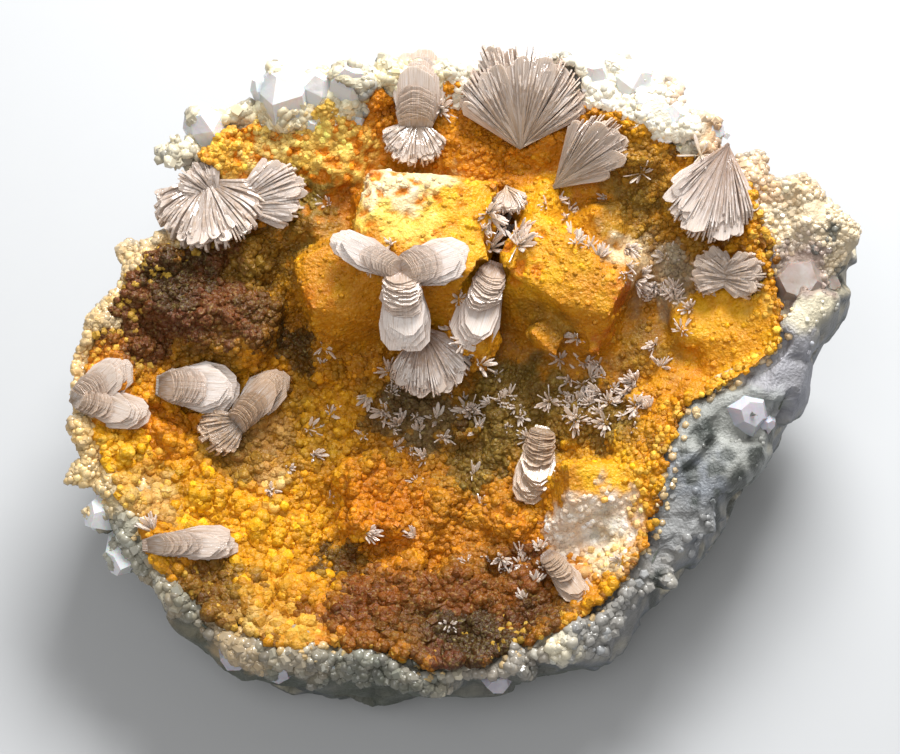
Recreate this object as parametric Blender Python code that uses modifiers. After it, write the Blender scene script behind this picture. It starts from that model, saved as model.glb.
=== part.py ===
"""A hemimorphite specimen: a block of quartz rock with a hollow, lined with a yellow druse that carries
fans and petals of hemimorphite. Shapes are worked out in millimetres and stored in metres, +Z up, with the
origin under the middle of the flat face that the rock rests on."""
import math
import random

import bmesh
import bpy
from mathutils import Euler, Matrix, Vector, noise

# Driving dimensions, in millimetres
MM = 0.001
RIM_HEIGHT = 29.5
RIM_SLOPE_X = 0.03
RIM_SLOPE_Y = 0.33
ROCK_DEPTH = 13.5
CRUST_THICK = 2.6
CRUST_PROUD = 1.2
CRUST_SPARE = 1.5
LINING_GAP = 0.5
SOCKET_GAP = 0.35
SEGMENTS = 60
RINGS = 20
VOXEL = 0.45
ROCK_KEEP = 0.0042
CRUST_KEEP = 0.0085
KNOB_SIZE = 5.0
KNOB_RISE = 2.2
SEED = 7
# Blender draws the place of its vector noise from the clock unless it is given one
NOISE_SEED = 1795631457

# Outlines seen from above, as (compass degrees from +X, radius)
LIP = ((0, 40.0), (14, 41.1), (28, 40.8), (38, 38.3), (49, 35.3), (60, 34.3), (72, 34.8), (86, 34.0),
       (101, 33.9), (116, 33.3), (130, 38.0), (141, 38.8), (152, 36.2), (164, 39.4), (181, 44.4),
       (192, 44.2), (203, 42.5), (222, 41.5), (231, 40.6), (244, 37.0), (256, 34.5), (269, 36.0),
       (290, 34.4), (304, 34.0), (317, 32.4), (326, 30.0), (337, 28.6), (349, 29.8))
CREST = ((0, 42.2), (9, 47.3), (17, 50.6), (23, 46.8), (29, 42.8), (40, 40.0), (52, 40.0), (62, 39.6),
         (72, 37.0), (86, 35.0), (103, 34.9), (115, 34.6), (126, 39.2), (137, 41.8), (147, 39.8),
         (158, 39.0), (166, 42.2), (174, 44.6), (182, 46.8), (196, 45.6), (212, 44.0), (228, 43.2),
         (243, 39.8), (256, 37.0), (269, 38.2), (287, 37.0), (301, 36.4), (316, 34.8), (330, 35.4),
         (344, 37.6))
WIDEST = ((0, 43.2), (9, 49.4), (16, 53.4), (24, 49.4), (40, 41.5), (60, 40.5), (86, 36.5), (105, 35.5),
          (126, 39.0), (150, 38.5), (180, 44.5), (205, 43.0), (230, 42.0), (250, 37.5), (269, 37.8),
          (290, 36.8), (315, 35.8), (335, 36.6), (348, 39.2))
FOOT = ((0, 33.0), (20, 37.0), (50, 31.0), (90, 28.0), (130, 31.0), (160, 33.0), (190, 36.0), (215, 38.5),
        (235, 37.5), (255, 34.0), (275, 31.5), (300, 29.5), (330, 29.5))

# Blocks under the druse: middle of the top, size of the top and height, turn, tilts forward and to the
# right, and how far the left, right, front and back sides run out on their way down
BLOCK_WEAR = 1.1
BLOCK_FACET = 5.0
BLOCK_ROUGH = 0.8
BLOCKS = (
    ((-3.0, 14.4, 37.0), (15.5, 12.5, 15.0), -3, (12, 3), (3.0, 2.0, 7.5, 2.0)),
    ((-14.0, 9.6, 33.2), (9.0, 9.0, 14.0), 14, (12, -8), (2.0, 2.0, 5.5, 3.0)),
    ((14.6, 10.6, 34.0), (15.5, 8.5, 13.0), -26, (12, 4), (1.5, 1.0, 6.0, 2.0)),
    ((-31.4, 8.0, 30.6), (20.5, 7.0, 10.0), -17, (6, 12), (0.5, 1.0, 4.5, 2.0)),
    ((18.8, -14.2, 24.6), (10.0, 4.6, 10.0), 2, (16, 3), (3.4, 1.2, 7.5, 1.0)),
    ((-8.6, -25.6, 18.0), (10.0, 5.5, 8.0), 12, (8, -4), (2.0, 1.0, 3.0, 1.2)),
    ((2.0, -26.4, 17.8), (10.0, 6.0, 8.0), -8, (8, 2), (1.0, 1.0, 3.0, 1.2)),
    ((11.6, -26.0, 18.4), (8.0, 5.0, 8.0), 6, (10, 4), (1.0, 1.0, 2.0, 1.2)),
    ((-9.6, -13.6, 19.6), (6.0, 10.0, 7.0), 14, (10, 4), (2.0, 2.5, 2.0, 2.0)),
    ((31.6, 5.0, 29.4), (9.0, 6.0, 8.0), -12, (14, -6), (2.0, 2.0, 4.0, 2.0)),
    ((-19.6, 25.4, 36.0), (13.0, 6.0, 8.0), 4, (26, 2), (2.0, 2.0, 3.0, 1.0)),
)

# Coated lumps, as (x, y, height of the top, radius)
LUMPS_ABOVE = (
    (11.1, 20.0, 34.6, 4.4), (18.5, 17.6, 34.2, 4.2), (21.6, 13.4, 31.8, 3.2), (3.1, 26.4, 36.0, 4.6),
    (0.4, 28.6, 37.2, 3.4), (6.4, 24.4, 35.0, 3.2), (-24.0, 28.2, 37.6, 4.6), (-15.2, 25.6, 36.2, 4.6),
    (-18.9, 21.4, 32.0, 4.2), (-11.6, 28.8, 38.2, 3.4), (-28.4, 26.6, 37.6, 3.4), (-9.4, 31.0, 40.6, 2.8),
    (16.0, 26.6, 34.0, 3.2), (27.6, 19.4, 32.2, 3.6), (-25.0, 15.6, 30.6, 4.0), (25.0, 23.6, 33.0, 3.4),
    (33.6, 17.6, 33.2, 3.4), (-15.4, 18.6, 32.0, 3.4), (9.4, 28.4, 37.2, 3.6),
)
LUMPS_RIGHT = (
    (34.6, 1.8, 28.4, 4.2), (29.4, 0.8, 26.0, 4.0), (38.6, 8.4, 33.0, 3.0), (38.6, 2.6, 31.4, 2.8),
    (25.8, -6.4, 24.6, 3.2), (37.8, 15.6, 35.2, 3.2), (32.6, 12.0, 30.4, 3.2), (27.0, 10.4, 28.6, 3.0),
    (22.6, 3.6, 24.4, 3.2), (11.6, 4.0, 29.6, 3.2), (24.4, -1.6, 23.6, 3.0), (2.2, 4.4, 28.6, 4.4),
)
LUMPS_LEFT = (
    (-41.8, -1.6, 28.6, 4.4), (-40.8, 4.6, 29.6, 3.4), (-34.0, -6.6, 22.4, 3.8),
    (-40.4, -10.4, 24.8, 3.6), (-38.2, -15.4, 23.2, 3.2), (-35.6, 1.6, 24.8, 3.0),
    (-29.4, -12.8, 20.4, 4.2), (-36.0, -18.4, 21.2, 2.8), (-32.4, -22.6, 20.0, 3.2),
    (-24.4, 8.0, 27.4, 3.4), (-23.6, -9.6, 18.4, 3.0),
)
LUMPS_LOW = (
    (-0.6, -14.2, 19.0, 3.6), (6.8, -15.6, 18.8, 3.6), (3.0, -20.2, 17.2, 3.2), (-18.6, -9.0, 18.2, 4.4),
    (-23.2, -16.4, 18.4, 4.2), (-25.3, -25.0, 18.2, 3.8), (-18.0, -26.6, 18.0, 3.8),
    (-20.4, -20.8, 17.4, 3.4), (-14.8, -2.8, 18.8, 3.2), (8.8, -3.6, 19.4, 3.2), (2.0, -4.2, 18.0, 3.4),
    (15.2, -4.6, 20.4, 3.0), (-5.2, -6.4, 17.6, 3.8), (-13.4, -29.4, 18.6, 3.6), (-2.6, -31.6, 18.6, 3.2),
    (6.4, -31.4, 18.6, 3.2), (16.6, -27.4, 19.6, 3.0), (20.4, -24.0, 20.4, 2.8), (11.2, -10.4, 19.8, 3.0),
    (-30.6, -26.4, 19.4, 3.0), (-23.6, -29.8, 18.2, 2.8),
)

# Small knobs of the druse, scattered over the lining
KNOBS = 150
KNOB_RADII = (1.3, 2.5)

# Quartz crystals of the rim, as (foot, way it points, radius, length), and how deep their feet are sunk
QUARTZ_SUNK = 1.2
RIM_QUARTZ = (
    ((-29.6, 27.4, 35.4), (-0.35, 0.25, 1.0), 2.6, 6.4),
    ((-20.4, 30.6, 37.6), (-0.10, 0.35, 1.0), 3.4, 7.4),
    ((-17.4, 31.6, 37.6), (0.45, 0.30, 1.0), 2.4, 6.0),
    ((-12.4, 31.4, 37.6), (0.15, 0.25, 1.0), 2.7, 8.0),
    ((-40.0, -15.8, 19.0), (-0.9, -0.30, 0.55), 2.4, 5.6),
    ((-37.6, -19.4, 17.2), (-0.7, -0.70, 0.35), 2.6, 6.0),
    ((-25.0, -31.0, 15.2), (-0.2, -0.9, 0.4), 2.2, 4.4),
    ((-20.6, -32.6, 14.8), (0.0, -0.9, 0.3), 2.4, 4.4),
    ((-14.6, -32.6, 14.6), (0.1, -0.9, 0.3), 2.6, 4.6), ((5.6, -34.0, 14.4), (0.1, -0.9, 0.4), 2.2, 4.4),
    ((12.4, -31.8, 16.0), (0.3, -0.7, 0.8), 2.0, 5.0), ((40.6, 11.4, 29.4), (0.35, -0.35, 0.9), 3.2, 6.6),
    ((41.6, 5.4, 27.6), (0.5, -0.5, 0.7), 2.6, 5.4), ((35.2, -6.6, 25.4), (0.3, -0.4, 0.9), 2.8, 6.6),
    ((27.6, -16.6, 20.6), (0.2, -0.6, 0.8), 2.2, 5.0), ((22.0, 31.4, 38.6), (0.3, 0.3, 1.0), 2.4, 6.0),
    ((26.6, 27.4, 37.6), (0.5, 0.2, 1.0), 2.2, 5.2), ((18.4, 32.6, 38.6), (-0.2, 0.3, 1.0), 2.0, 5.6),
    ((31.4, 25.6, 36.4), (0.3, 0.5, 1.0), 1.9, 4.8), ((44.4, 15.6, 33.6), (0.4, 0.2, 1.0), 2.2, 4.6),
    ((30.0, -9.4, 23.6), (-0.1, -0.3, 1.0), 2.0, 4.4), ((25.0, 28.6, 35.4), (-0.4, -0.3, 1.0), 2.2, 5.4),
)

# Druse lumps of the rim, joined to the rock, as (x, y, height of the top, radius)
RIM_LUMPS = (
    (20.4, 33.4, 43.4, 3.2), (25.6, 30.2, 42.4, 3.4), (30.4, 26.6, 41.0, 3.0), (36.6, 21.6, 39.8, 2.8),
    (42.6, 18.6, 38.4, 3.0), (47.4, 14.4, 36.6, 3.2), (13.6, 34.2, 43.4, 3.0), (-8.4, 33.6, 42.2, 2.6),
    (38.6, -4.4, 29.8, 3.4), (33.6, -11.6, 27.2, 3.2), (29.6, -19.0, 24.6, 2.8), (24.8, -25.4, 22.4, 2.8),
    (-39.6, 13.6, 33.0, 2.6), (-34.6, 24.6, 38.4, 2.8), (-43.6, -12.6, 24.8, 2.4),
    (-4.6, -35.2, 17.6, 2.4),
)

# Hemimorphite, node by node, as (kind, root, tip, opening in degrees, depth along the spine, plates).
# A shell opens to both sides of its tip. The plates of a petal stand up from its longest one.
FANS = {
    "fan_tall": (("petal", (-4.2, 27.9, 37.2), (-3.7, 34.6, 43.6), 40, 6.6, 4),
                 ("shell", (-4.2, 27.9, 37.2), (-5.0, 23.0, 36.0), 84, 2.8, 4)),
    "fan_great": (("shell", (8.8, 27.0, 36.6), (9.4, 35.2, 44.4), 98, 4.2, 8),
                  ("shell", (7.6, 28.4, 38.0), (4.4, 35.4, 44.6), 24, 2.2, 2)),
    "fan_needle": (("shell", (13.9, 22.1, 34.4), (20.8, 25.3, 41.6), 44, 3.0, 5),),
    "fan_right": (("shell", (33.4, 22.4, 39.4), (30.2, 12.5, 35.6), 62, 4.4, 6),),
    "rosette_left": (("shell", (-29.8, 20.3, 34.4), (-29.0, 12.5, 33.6), 136, 3.6, 6),
                     ("shell", (-29.8, 20.3, 34.4), (-33.1, 22.1, 36.4), 76, 3.0, 3),
                     ("shell", (-25.8, 19.0, 33.8), (-17.7, 20.7, 35.6), 60, 3.0, 4)),
    "flower_centre": (("petal", (-5.8, 8.1, 35.6), (-14.0, 11.5, 38.6), 52, 4.0, 4),
                      ("petal", (-5.8, 8.1, 35.6), (2.5, 10.0, 37.6), 56, 5.8, 4),
                      ("petal", (-5.8, 8.1, 35.6), (-5.8, -0.5, 31.6), 60, 6.2, 4)),
    "petal_beside": (("petal", (5.3, 10.9, 31.0), (1.8, 1.4, 29.8), 54, 5.2, 4),),
    "fan_below_flower": (("shell", (-3.1, 4.5, 26.0), (-1.1, -2.6, 23.8), 88, 3.0, 6),),
    "plate_left_hollow": (("petal", (-34.7, -2.0, 25.4), (-26.0, -2.2, 24.8), 66, 6.0, 5),),
    "fans_left_hollow": (("petal", (-26.3, -4.9, 20.8), (-20.9, 0.4, 24.6), 56, 4.6, 4),
                         ("shell", (-26.3, -4.9, 20.8), (-30.6, -7.9, 22.0), 60, 3.0, 3)),
    "fans_far_left": (("petal", (-44.6, -4.7, 27.2), (-39.2, -1.5, 30.2), 60, 4.6, 3),
                      ("petal", (-44.6, -4.7, 27.2), (-37.0, -7.5, 27.6), 60, 4.2, 4)),
    "fan_lower_left": (("petal", (-35.4, -21.9, 22.6), (-25.5, -21.0, 21.8), 50, 3.8, 5),),
    "fan_right_grey": (("shell", (33.8, 9.8, 31.6), (29.4, 10.8, 33.2), 72, 2.6, 3),
                       ("shell", (33.8, 9.8, 31.6), (38.0, 8.4, 34.8), 56, 2.6, 3)),
    "fan_middle": (("petal", (11.2, -6.4, 20.6), (10.0, -14.6, 21.4), 64, 4.8, 5),),
    "fan_front": (("petal", (12.2, -22.2, 18.8), (16.1, -28.6, 21.2), 50, 3.6, 3),),
    "fan_small": (("shell", (7.2, 20.0, 34.0), (7.6, 16.6, 35.4), 60, 2.2, 3),),
}
FAN_ROOT = 1.1
FAN_START = 1.55
FAN_FACING = (0.0, -0.42, 0.9)
# Along a fan, as (share of its length, share of its depth)
FAN_SECTIONS = ((0, 0.45), (0.62, 1.0), (1, 0.6))
SOCKET_STEP = 14

# Small sprays fused to the crust, as (foot, way they point)
SPRAYS = (
    ((17.6, 3.0, 26.6), (0.1, -0.3, 1.0)), ((19.0, -0.6, 22.6), (0.5, -0.4, 0.9)),
    ((22.8, -2.4, 21.4), (0.2, -0.2, 1.0)), ((15.6, -3.4, 20.4), (-0.2, -0.3, 1.0)),
    ((2.2, -4.6, 17.6), (0.0, -0.2, 1.0)), ((-5.2, -18.4, 18.0), (0.1, -0.2, 1.0)),
    ((6.4, -20.6, 16.6), (-0.2, -0.1, 1.0)), ((10.2, -20.6, 16.6), (0.2, -0.2, 1.0)),
    ((15.6, 13.8, 33.2), (0.1, -0.3, 1.0)), ((29.0, 3.4, 26.6), (0.2, -0.3, 1.0)),
)
SPRAY_KNOT = 0.9
NEEDLE_LENGTHS = (1.4, 2.8)


def around(outline, degrees):
    """Radius of a closed outline at a compass turn, eased from each of its points to the next."""
    degrees %= 360
    closed = outline + ((360 + outline[0][0], outline[0][1]),)
    for (start, near), (end, far) in zip(closed, closed[1:]):
        if start <= degrees <= end:
            ease = (1 - math.cos(math.pi * (degrees - start) / (end - start))) / 2
            return near + (far - near) * ease
    return closed[0][1]


def rim_height(x, y):
    """Height of the tilted plane that the rim of the hollow lies in."""
    return RIM_HEIGHT + RIM_SLOPE_X * x + RIM_SLOPE_Y * y


def rough(x, y, z, grain, amount):
    """A repeatable unevenness of the broken rock, of about the given grain."""
    return amount * noise.noise(Vector((x + 90, y + 40, z + 20)) / grain)


def ring_at(radius, degrees, height):
    """A point at a radius and a compass turn, at a height."""
    turn = math.radians(degrees)
    return Vector((radius * math.cos(turn), radius * math.sin(turn), height))


def hollow_point(share, degrees, depth):
    """A point of the hollow, from its middle at share 0 to its lip at share 1."""
    spot = ring_at(around(LIP, degrees) * share, degrees, 0)
    sunk = depth * (1 - share ** 3)
    uneven = rough(spot.x, spot.y, 0, 9, 1.6) * (1 - share ** 4)
    spot.z = rim_height(spot.x, spot.y) - sunk + uneven
    return spot


def rock_point(ring, degrees):
    """A point of the rock, ring by ring from the hollow over the rim and down to the resting face."""
    if ring <= 10:
        return hollow_point(ring / 10, degrees, ROCK_DEPTH)
    lip, crest = around(LIP, degrees), around(CREST, degrees)
    wide, foot = around(WIDEST, degrees), around(FOOT, degrees)
    brow = ring_at(crest, degrees, 0)
    rim = rim_height(brow.x, brow.y)
    stations = {
        11: (lip + (crest - lip) * 0.55, rim + 0.9), 12: (crest, rim - 0.3),
        13: (max(wide, crest) * 0.5 + wide * 0.5, rim * 0.80), 14: (wide, rim * 0.60),
        15: (wide + (foot - wide) * 0.42, rim * 0.34), 16: (wide + (foot - wide) * 0.88, rim * 0.08),
        17: (foot, -2), 18: (foot * 0.7, -2), 19: (foot * 0.35, -2), 20: (0, -2),
    }
    radius, height = stations[ring]
    spot = ring_at(radius, degrees, height)
    if ring < 17:
        push = rough(spot.x, spot.y, spot.z, 13, 2.6) + rough(spot.x, spot.y, spot.z, 5, 1.3)
        if ring < 13:
            push *= 0.3
            spot.z += rough(spot.x, spot.y, spot.z, 6, 1.5)
        spot += ring_at(push, degrees, 0)
    return spot


def reshape_ball(point_of):
    """A ball whose rings, from its top pole to its bottom pole, are moved to the points of a function."""
    bm = bmesh.new()
    bmesh.ops.create_uvsphere(bm, u_segments=SEGMENTS, v_segments=RINGS, radius=1)
    for vert in bm.verts:
        ring = round(math.acos(max(-1.0, min(1.0, vert.co.z))) / math.pi * RINGS)
        degrees = math.degrees(math.atan2(vert.co.y, vert.co.x)) % 360
        vert.co = point_of(ring, degrees)
    bmesh.ops.recalc_face_normals(bm, faces=bm.faces)
    return bm


def crust_sheet():
    """The lining alone: its top over the rock's hollow, its underside deep enough for the room to cut."""
    def point_of(ring, degrees):
        if ring <= 10:
            spot = hollow_point(ring / 10 * 1.015, degrees, ROCK_DEPTH - CRUST_THICK)
            return spot + Vector((0, 0, CRUST_PROUD))
        return hollow_point((RINGS - ring) / 10 * 1.01, degrees, ROCK_DEPTH) - Vector((0, 0, CRUST_SPARE))

    return reshape_ball(point_of)


def roughen(bm, amount, grain=4.0):
    """Push a shape's corners off their true places, so that no face stays square."""
    for vert in bm.verts:
        vert.co += noise.noise_vector(vert.co / grain + Vector((3, 5, 7))) * amount


def block_body(top, size, turn, tilts, runs):
    """A coated block: a box whose sides run out on their way down, with worn edges."""
    width, depth, height = size
    left, right, front, back = runs
    bm = bmesh.new()
    bmesh.ops.create_cube(bm, size=1)
    for vert in bm.verts:
        low = vert.co.z < 0
        x = vert.co.x * width + low * (right if vert.co.x > 0 else -left)
        y = vert.co.y * depth + low * (back if vert.co.y > 0 else -front)
        vert.co = Vector((x, y, -height if low else 0))
    bmesh.ops.bevel(bm, geom=bm.edges[:], offset=BLOCK_WEAR, affect="EDGES", segments=1, profile=0.5,
                    material=-1)
    long_edges = [edge for edge in bm.edges if edge.calc_length() > BLOCK_FACET]
    bmesh.ops.subdivide_edges(bm, edges=long_edges, cuts=1, use_grid_fill=True)
    bmesh.ops.triangulate(bm, faces=bm.faces)
    spin = Euler((math.radians(tilts[0]), math.radians(tilts[1]), math.radians(turn))).to_matrix().to_4x4()
    bmesh.ops.transform(bm, matrix=Matrix.Translation(top) @ spin, verts=bm.verts)
    roughen(bm, BLOCK_ROUGH)
    return bm


def lump_body(x, y, top, radius, chance):
    """A coated lump: a coarse ball, flattened, turned at random and roughened."""
    bm = bmesh.new()
    bmesh.ops.create_icosphere(bm, subdivisions=2 if radius > 3.3 else 1, radius=radius)
    spin = Euler([chance.uniform(0, 6) for _ in range(3)]).to_matrix().to_4x4()
    squash = Matrix.Diagonal((1, 1, 0.78, 1))
    place = Matrix.Translation((x, y, top - radius * 0.72))
    bmesh.ops.transform(bm, matrix=place @ squash @ spin, verts=bm.verts)
    roughen(bm, radius * 0.22, 2.2)
    return bm


def knob_body(chance):
    """A small knob of the druse at a random place of the lining."""
    degrees = chance.uniform(0, 360)
    foot = hollow_point(math.sqrt(chance.uniform(0.01, 0.96)), degrees, ROCK_DEPTH - CRUST_THICK)
    radius = chance.uniform(*KNOB_RADII)
    return lump_body(foot.x, foot.y, foot.z + 0.9 + radius * 0.75, radius, chance)


def aim(root, way, facing):
    """A frame at a root: x runs the way given, z as near to the facing as it can."""
    x = Vector(way).normalized()
    y = Vector(facing).cross(x).normalized()
    z = x.cross(y)
    return Matrix.Translation(root) @ Matrix((x, y, z)).transposed().to_4x4()


def quartz_body(foot, way, radius, length):
    """A quartz crystal: a six-sided prism that ends in a point."""
    bm = bmesh.new()
    body = length - radius * 0.9
    ends = bmesh.ops.create_cone(bm, cap_ends=True, segments=6, radius1=radius, radius2=radius * 0.9,
                                 depth=body)["verts"]
    bmesh.ops.translate(bm, vec=(0, 0, body / 2 - QUARTZ_SUNK), verts=ends)
    top = max(bm.faces, key=lambda face: face.calc_center_median().z)
    point = bmesh.ops.poke(bm, faces=[top], offset=radius * 0.9)["verts"]
    bmesh.ops.translate(bm, vec=(radius * 0.15, 0, 0), verts=point)
    upright = Matrix.Rotation(math.radians(90), 4, "Y")
    bmesh.ops.transform(bm, matrix=aim(foot, way, (0.3, -0.4, 0.9)) @ upright, verts=bm.verts)
    return bm


def fan_frame(kind, root, tip):
    """A frame whose x runs to a fan's tip and whose z runs along the spine of its plates. It starts behind
    the root, so that fans from one root grow into each other."""
    axis = (Vector(tip) - Vector(root)).normalized()
    spine = axis.cross(Vector(FAN_FACING)) if kind == "petal" else FAN_FACING
    return aim(Vector(root) - axis * FAN_START, axis, spine)


def fan_plate(kind, side, opening, length):
    """Angle and length of the plate at a place across a fan, from side -1 to side 1."""
    if kind == "petal":
        rise = (side + 1) / 2
        return math.radians(opening) * rise, length * (1 - 0.55 * rise ** 0.8)
    narrowing = 1 - 0.05 * abs(side)
    return math.radians(opening) / 2 * side * narrowing, length * (1 - 0.24 * side ** 2)


def fan_body(kind, root, tip, opening, depth, plates):
    """One fan: ridged plates that open from the spine at its root, like the pages of a book."""
    length = (Vector(tip) - Vector(root)).length + FAN_START
    bm = bmesh.new()
    bmesh.ops.create_grid(bm, x_segments=2, y_segments=2 * plates, size=0.5)
    for vert in bm.verts:
        share, swell = FAN_SECTIONS[round(vert.co.x * 2) + 1]
        across = round((vert.co.y + 0.5) * 2 * plates)
        ridge = across % 2
        angle, reach = fan_plate(kind, across / plates - 1, opening, length)
        radius = FAN_ROOT + (reach * (1 if ridge else 0.93) - FAN_ROOT) * share
        half = depth / 2 * swell * (1 if ridge else 0.8)
        vert.co = Vector((radius * math.cos(angle), radius * math.sin(angle), half))
    bottom = bmesh.ops.duplicate(bm, geom=bm.verts[:] + bm.edges[:] + bm.faces[:])["geom"]
    for vert in [item for item in bottom if isinstance(item, bmesh.types.BMVert)]:
        vert.co.z *= -1
    bmesh.ops.reverse_faces(bm, faces=[item for item in bottom if isinstance(item, bmesh.types.BMFace)])
    rims = [edge for edge in bm.edges if edge.is_boundary]
    bmesh.ops.bridge_loops(bm, edges=rims)
    bmesh.ops.transform(bm, matrix=fan_frame(kind, root, tip), verts=bm.verts)
    return bm


def fan_socket(kind, root, tip, opening, depth):
    """A plain wedge that holds one fan with a gap all round."""
    length = (Vector(tip) - Vector(root)).length + FAN_START
    steps = max(2, round(opening / SOCKET_STEP))
    bm = bmesh.new()
    for share, swell in FAN_SECTIONS:
        half = depth / 2 * swell + SOCKET_GAP
        for step in range(steps + 1):
            side = 2 * step / steps - 1
            angle, reach = fan_plate(kind, side, opening, length)
            radius = FAN_ROOT + (reach - FAN_ROOT) * share
            radius += SOCKET_GAP * (2 * share - 1) * 1.3
            out = SOCKET_GAP * 1.3 * (abs(side) == 1) * side
            across = Vector((-math.sin(angle), math.cos(angle), 0)) * out
            for height in (-half, half):
                spot = Vector((radius * math.cos(angle), radius * math.sin(angle), height))
                bm.verts.new(spot + across)
    bmesh.ops.convex_hull(bm, input=bm.verts)
    bmesh.ops.transform(bm, matrix=fan_frame(kind, root, tip), verts=bm.verts)
    return bm


def spray_body(foot, way, chance):
    """A spray: thin needles that spread from one small knot."""
    bm = bmesh.new()
    bmesh.ops.create_icosphere(bm, subdivisions=1, radius=SPRAY_KNOT)
    for face in [face for face in bm.faces if face.calc_center_median().z > SPRAY_KNOT / 4]:
        bmesh.ops.poke(bm, faces=[face], offset=chance.uniform(*NEEDLE_LENGTHS))
    upright = Matrix.Rotation(math.radians(90), 4, "Y")
    bmesh.ops.transform(bm, matrix=aim(foot, way, (0.2, -0.9, 0.3)) @ upright, verts=bm.verts)
    return bm


def one_mesh(shapes):
    """Put shapes that overlap each other in one bmesh."""
    whole = bmesh.new()
    scratch = bpy.data.meshes.new("shapes")
    for bm in shapes:
        bmesh.ops.recalc_face_normals(bm, faces=bm.faces)
        bm.to_mesh(scratch)
        bm.free()
        whole.from_mesh(scratch)
    bpy.data.meshes.remove(scratch)
    return whole


def grow_together(owner, keep, knob_size, knob_rise):
    """Merge overlapping shapes in one knobbly skin, then keep only the faces that its form needs."""
    merge = owner.modifiers.new("Merge", "REMESH")
    merge.mode = "VOXEL"
    merge.voxel_size = VOXEL * MM
    knobs = bpy.data.textures.new(owner.name + "_knobs", "CLOUDS")
    knobs.noise_scale = knob_size * MM
    swell = owner.modifiers.new("Swell", "DISPLACE")
    swell.texture = knobs
    swell.texture_coords = "LOCAL"
    swell.strength = knob_rise * MM
    facets = owner.modifiers.new("Facets", "DECIMATE")
    facets.ratio = keep


def clearance(piece, gap, collection):
    """A cutter that stands a gap proud of a finished piece all over."""
    cutter = bpy.data.objects.new(piece.name + "_clearance", piece.data)
    collection.objects.link(cutter)
    cutter.hide_render = True
    cutter.display_type = "WIRE"
    grow = cutter.modifiers.new("Grow", "DISPLACE")
    grow.mid_level = 0
    grow.strength = gap * MM
    return cutter


def ground_box():
    """The space under the resting face."""
    bm = bmesh.new()
    bmesh.ops.create_cube(bm, size=1)
    bmesh.ops.scale(bm, vec=(140, 140, 10), verts=bm.verts)
    bmesh.ops.translate(bm, vec=(0, 0, -5), verts=bm.verts)
    return bm


def finish_mesh(bm, name):
    """Store a bmesh of millimetres as a mesh in metres."""
    bmesh.ops.recalc_face_normals(bm, faces=bm.faces)
    bmesh.ops.scale(bm, vec=(MM, MM, MM), verts=bm.verts)
    mesh = bpy.data.meshes.new(name)
    bm.to_mesh(mesh)
    bm.free()
    return mesh


def add_object(bm, name, collection):
    """Add a bmesh of millimetres as an object."""
    item = bpy.data.objects.new(name, finish_mesh(bm, name))
    collection.objects.link(item)
    return item


def add_cutter(bm, name, collection):
    """Add a shape that only joins or cuts another."""
    item = add_object(bm, name, collection)
    item.hide_render = True
    item.display_type = "WIRE"
    return item


def boolean(owner, operation, operand):
    """Join or cut an object with another object or with a whole collection. These skins touch themselves in
    places, where the exact solver leaves edges open, so the manifold solver is used."""
    modifier = owner.modifiers.new(operation.title(), "BOOLEAN")
    modifier.solver = "MANIFOLD"
    modifier.operation = operation
    if isinstance(operand, bpy.types.Collection):
        modifier.operand_type = "COLLECTION"
        modifier.collection = operand
    else:
        modifier.object = operand


def settle(owner):
    """Make a piece the closed mesh that its modifiers give, without the crumbs that a cut leaves."""
    graph = bpy.context.evaluated_depsgraph_get()
    result = bpy.data.meshes.new_from_object(owner.evaluated_get(graph))
    owner.modifiers.clear()
    owner.data = result
    bm = bmesh.new()
    bm.from_mesh(result)
    islands = []
    unseen = set(bm.faces)
    while unseen:
        front = [unseen.pop()]
        island = set(front)
        while front:
            for edge in front.pop().edges:
                for face in edge.link_faces:
                    if face in unseen and edge.is_manifold:
                        unseen.remove(face)
                        island.add(face)
                        front.append(face)
        islands.append(island)
    main = max(islands, key=lambda island: sum(face.calc_area() for face in island))
    bmesh.ops.delete(bm, geom=[face for face in bm.faces if face not in main], context="FACES")
    bmesh.ops.triangulate(bm, faces=bm.faces)
    for _ in range(4):
        touching = [edge for edge in bm.edges if len(edge.link_faces) > 2]
        bmesh.ops.collapse(bm, edges=touching)
    bmesh.ops.delete(bm, geom=[vert for vert in bm.verts if not vert.link_faces], context="VERTS")
    bm.to_mesh(result)
    bm.free()


def give_material(owner, name, colour, roughness):
    """Give a piece its own plain material."""
    material = bpy.data.materials.new(name)
    material.use_nodes = True
    shader = material.node_tree.nodes["Principled BSDF"]
    shader.inputs["Base Color"].default_value = (*colour, 1)
    shader.inputs["Roughness"].default_value = roughness
    shader.inputs["Metallic"].default_value = 0
    owner.data.materials.clear()
    owner.data.materials.append(material)


for old in list(bpy.data.objects):
    bpy.data.objects.remove(old)

chance = random.Random(SEED)
noise.seed_set(NOISE_SEED)
scene = bpy.context.scene
specimen = bpy.data.collections.new("hemimorphite_specimen")
cutters = bpy.data.collections.new("cutters")
scene.collection.children.link(specimen)
scene.collection.children.link(cutters)
groups = {}
for group in ("rim_quartz", "sprays", "fan_sockets"):
    groups[group] = bpy.data.collections.new(group)
    cutters.children.link(groups[group])

holder = bpy.data.objects.new("specimen", None)
specimen.objects.link(holder)

fans = []
for name, members in FANS.items():
    fan = add_object(fan_body(*members[0]), name, specimen)
    for number, member in enumerate(members):
        add_cutter(fan_socket(*member[:5]), f"{name}_socket_{number}", groups["fan_sockets"])
        if number:
            boolean(fan, "UNION", add_cutter(fan_body(*member), f"{name}_plates_{number}", cutters))
    settle(fan)
    give_material(fan, f"{name}_crystal", (0.80, 0.68, 0.58), 0.12)
    fans.append(fan)

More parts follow.
